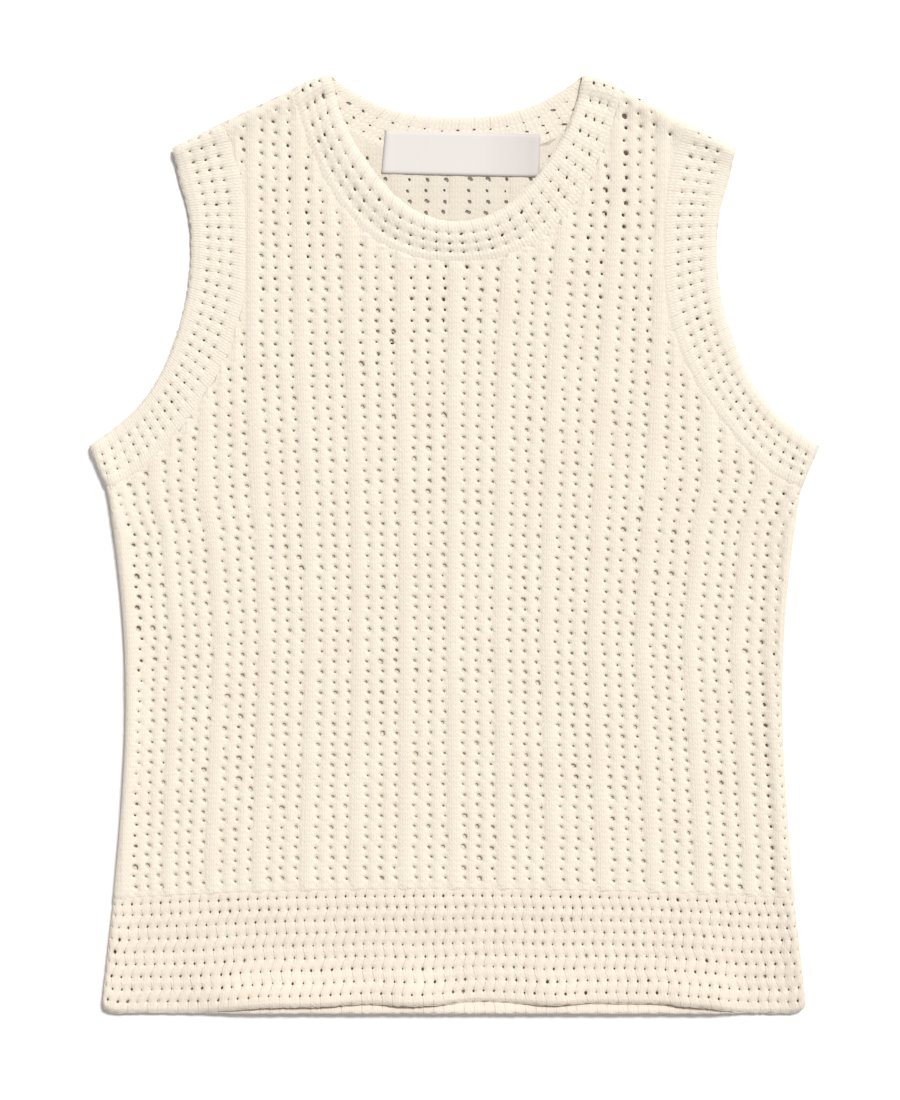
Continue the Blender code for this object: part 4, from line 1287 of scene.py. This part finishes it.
def satinMaterial():
    # Woven polyester satin, as labels are: smooth, warm light grey, with a soft lustre; its right end is
    # painted darker as shade.
    material, tree, shader = newMaterial("woven_satin")
    coordinates = addNode(tree, "TexCoord")
    parts = addNode(tree, "SeparateXYZ", in0=coordinates.outputs["UV"])
    turns = [2 * math.pi * size / satin["threadPitch"] for size in label["size"]]
    # threads: sin(u * turns) * sin(v * turns)
    waves = []
    for part, turn in zip(parts.outputs, (turns[0] * satin["warpShare"], turns[1])):
        angle = addNode(tree, "Math", {"operation": "MULTIPLY"}, in0=part, in1=turn).outputs[0]
        waves.append(addNode(tree, "Math", {"operation": "SINE"}, in0=angle).outputs[0])
    threads = addNode(tree, "Math", {"operation": "MULTIPLY"}, in0=waves[0], in1=waves[1]).outputs[0]
    toShadedEnd = addNode(
        tree, "MapRange", None, Value=parts.outputs[0], in1=satin["shadeFrom"], in2=0.5,
    ).outputs[0]
    ends = {"Color1": linear(satin["colour"]), "Color2": linear(satin["shade"])}
    colour = addNode(tree, "MixRGB", None, Fac=toShadedEnd, **ends)
    bump = addNode(tree, "Bump", None, Strength=1.0, Distance=satin["threadDepth"], Height=threads)
    tree.links.new(colour.outputs[0], shader.inputs["Base Color"])
    tree.links.new(bump.outputs[0], shader.inputs["Normal"])
    shader.inputs["Roughness"].default_value = satin["roughness"]
    shader.inputs["Sheen Weight"].default_value = satin["sheen"]
    return material


panelCotton = cottonMaterial("cotton_rib_mesh", cotton["panel"], ribFurrowShade)
bandCotton = cottonMaterial("cotton_band_mesh", cotton["band"], bandHairline)
hemCotton = cottonMaterial("cotton_hem_mesh", cotton["hem"], hemHairline)
# the back panels get the darker cotton, which is painted shade
backCottonShaded = cottonMaterial("cotton_rib_mesh_back", cotton["back"], ribFurrowShade)
labelSatin = satinMaterial()
print("materials made")

# What shows of each piece's cloth, laid out flat: its size in metres, its area in square metres
flatCuts = {
    "panelHalf": ((0.222, 0.488), 0.086),
    "hemBand": ((0.427, 0.072), 0.0285),
    "neckBand": ((0.53, 0.025), 0.0125),
    "armBand": ((0.44, 0.031), 0.0125),
    "label": ((0.094, 0.0256), None),
}


def dress(piece, material, node, cut, restsOn=()):
    # material and slot, the root body, and the CAD node it stands for, which is hidden; its flat cut is
    # looked up but not used
    flat, area = flatCuts[cut]
    piece.data.materials.append(material)
    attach(piece, "root")
    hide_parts(node)
    list(restsOn)


panels = (("back", backCottonShaded, ()), ("front", panelCotton, ("back_body",)))
for layer, cloth, under in panels:
    for piece in makePanel(layer):
        dress(piece, cloth, layer + "_body", "panelHalf", under)
print("panels knitted")
for layer, _, _ in panels:
    piece = makeBand(layer + "_hem_knit", hemBand(layer), hemKnit)
    dress(piece, hemCotton, layer + "_hem_band", "hemBand")
dress(makeBand("neck_band_knit", neckBand(), neckKnit), bandCotton, "neck_band", "neckBand")
for side, name in ((-1.0, "left"), (1.0, "right")):
    piece = makeBand(name + "_arm_knit", armBand(side), armKnit)
    dress(piece, bandCotton, name + "_armband", "armBand")
print("bands knitted")
dress(makeLabel(), labelSatin, "neck_label", "label", ("back_body",))
print("label sewn in")

studio = {
    "centre": (-2.4, -3.15),  # what the camera looks straight down on
    "height": 3.5,            # of the plane that fills the picture
    "frame": 660.0,           # its size from top to bottom
    "lens": 85.0,
    "sensor": 36.0,
    "world": 0.36,
    "sun": 2.88,
    "sunSoftness": 15.0,      # degrees
    "sunTilt": 36.0,          # from straight above
    "sunFrom": 58.0,          # anticlockwise from the right, so from the upper right
    "paper": "#fdfdfd",
    "floorHalf": 10.0,        # metres; it is a square twenty metres wide
    "floorDrop": 0.0001,      # just under the garment
}


def makeFloor():
    # one square, half its width to each side of the origin
    half, low = studio["floorHalf"], cadBox[0].z - studio["floorDrop"]
    corners = [(-half, -half, low), (half, -half, low), (half, half, low), (-half, half, low)]
    mesh = bpy.data.meshes.new("paper_floor")
    mesh.from_pydata(corners, [], [(0, 1, 2, 3)])
    floor = addObject("paper_floor", mesh)
    material, _, shader = newMaterial("matt_white_paper")
    shader.inputs["Base Color"].default_value = linear(studio["paper"])
    shader.inputs["Roughness"].default_value = 1.0
    mesh.materials.append(material)


def makeStudio():
    # an even white world and one wide sun, which shines along its own -z: tilted about x it comes
    # from -y, and is then turned round z
    world = bpy.data.worlds.new("studio")
    world.use_nodes = True
    background = world.node_tree.nodes["Background"]
    background.inputs["Color"].default_value = linear("#ffffff")
    background.inputs["Strength"].default_value = studio["world"]
    bpy.context.scene.world = world
    light = bpy.data.lights.new("key", "SUN")
    light.energy = studio["sun"]
    light.angle = math.radians(studio["sunSoftness"])
    turn = math.radians(studio["sunFrom"] + 90.0)
    addObject("key", light).rotation_euler = (math.radians(studio["sunTilt"]), 0.0, turn)
    bpy.context.scene.view_settings.view_transform = "Standard"


def makeCamera():
    # straight above: frame * lens / sensor over the plane that fills the picture
    lens = bpy.data.cameras.new("camera")
    lens.lens, lens.sensor_width = studio["lens"], studio["sensor"]
    away = studio["frame"] * studio["lens"] / lens.sensor_width + studio["height"]
    camera = addObject("camera", lens)
    camera.location = [value * millimetre for value in (*studio["centre"], away)]
    bpy.context.scene.camera = camera


makeFloor()
makeStudio()
makeCamera()
print("studio set up")
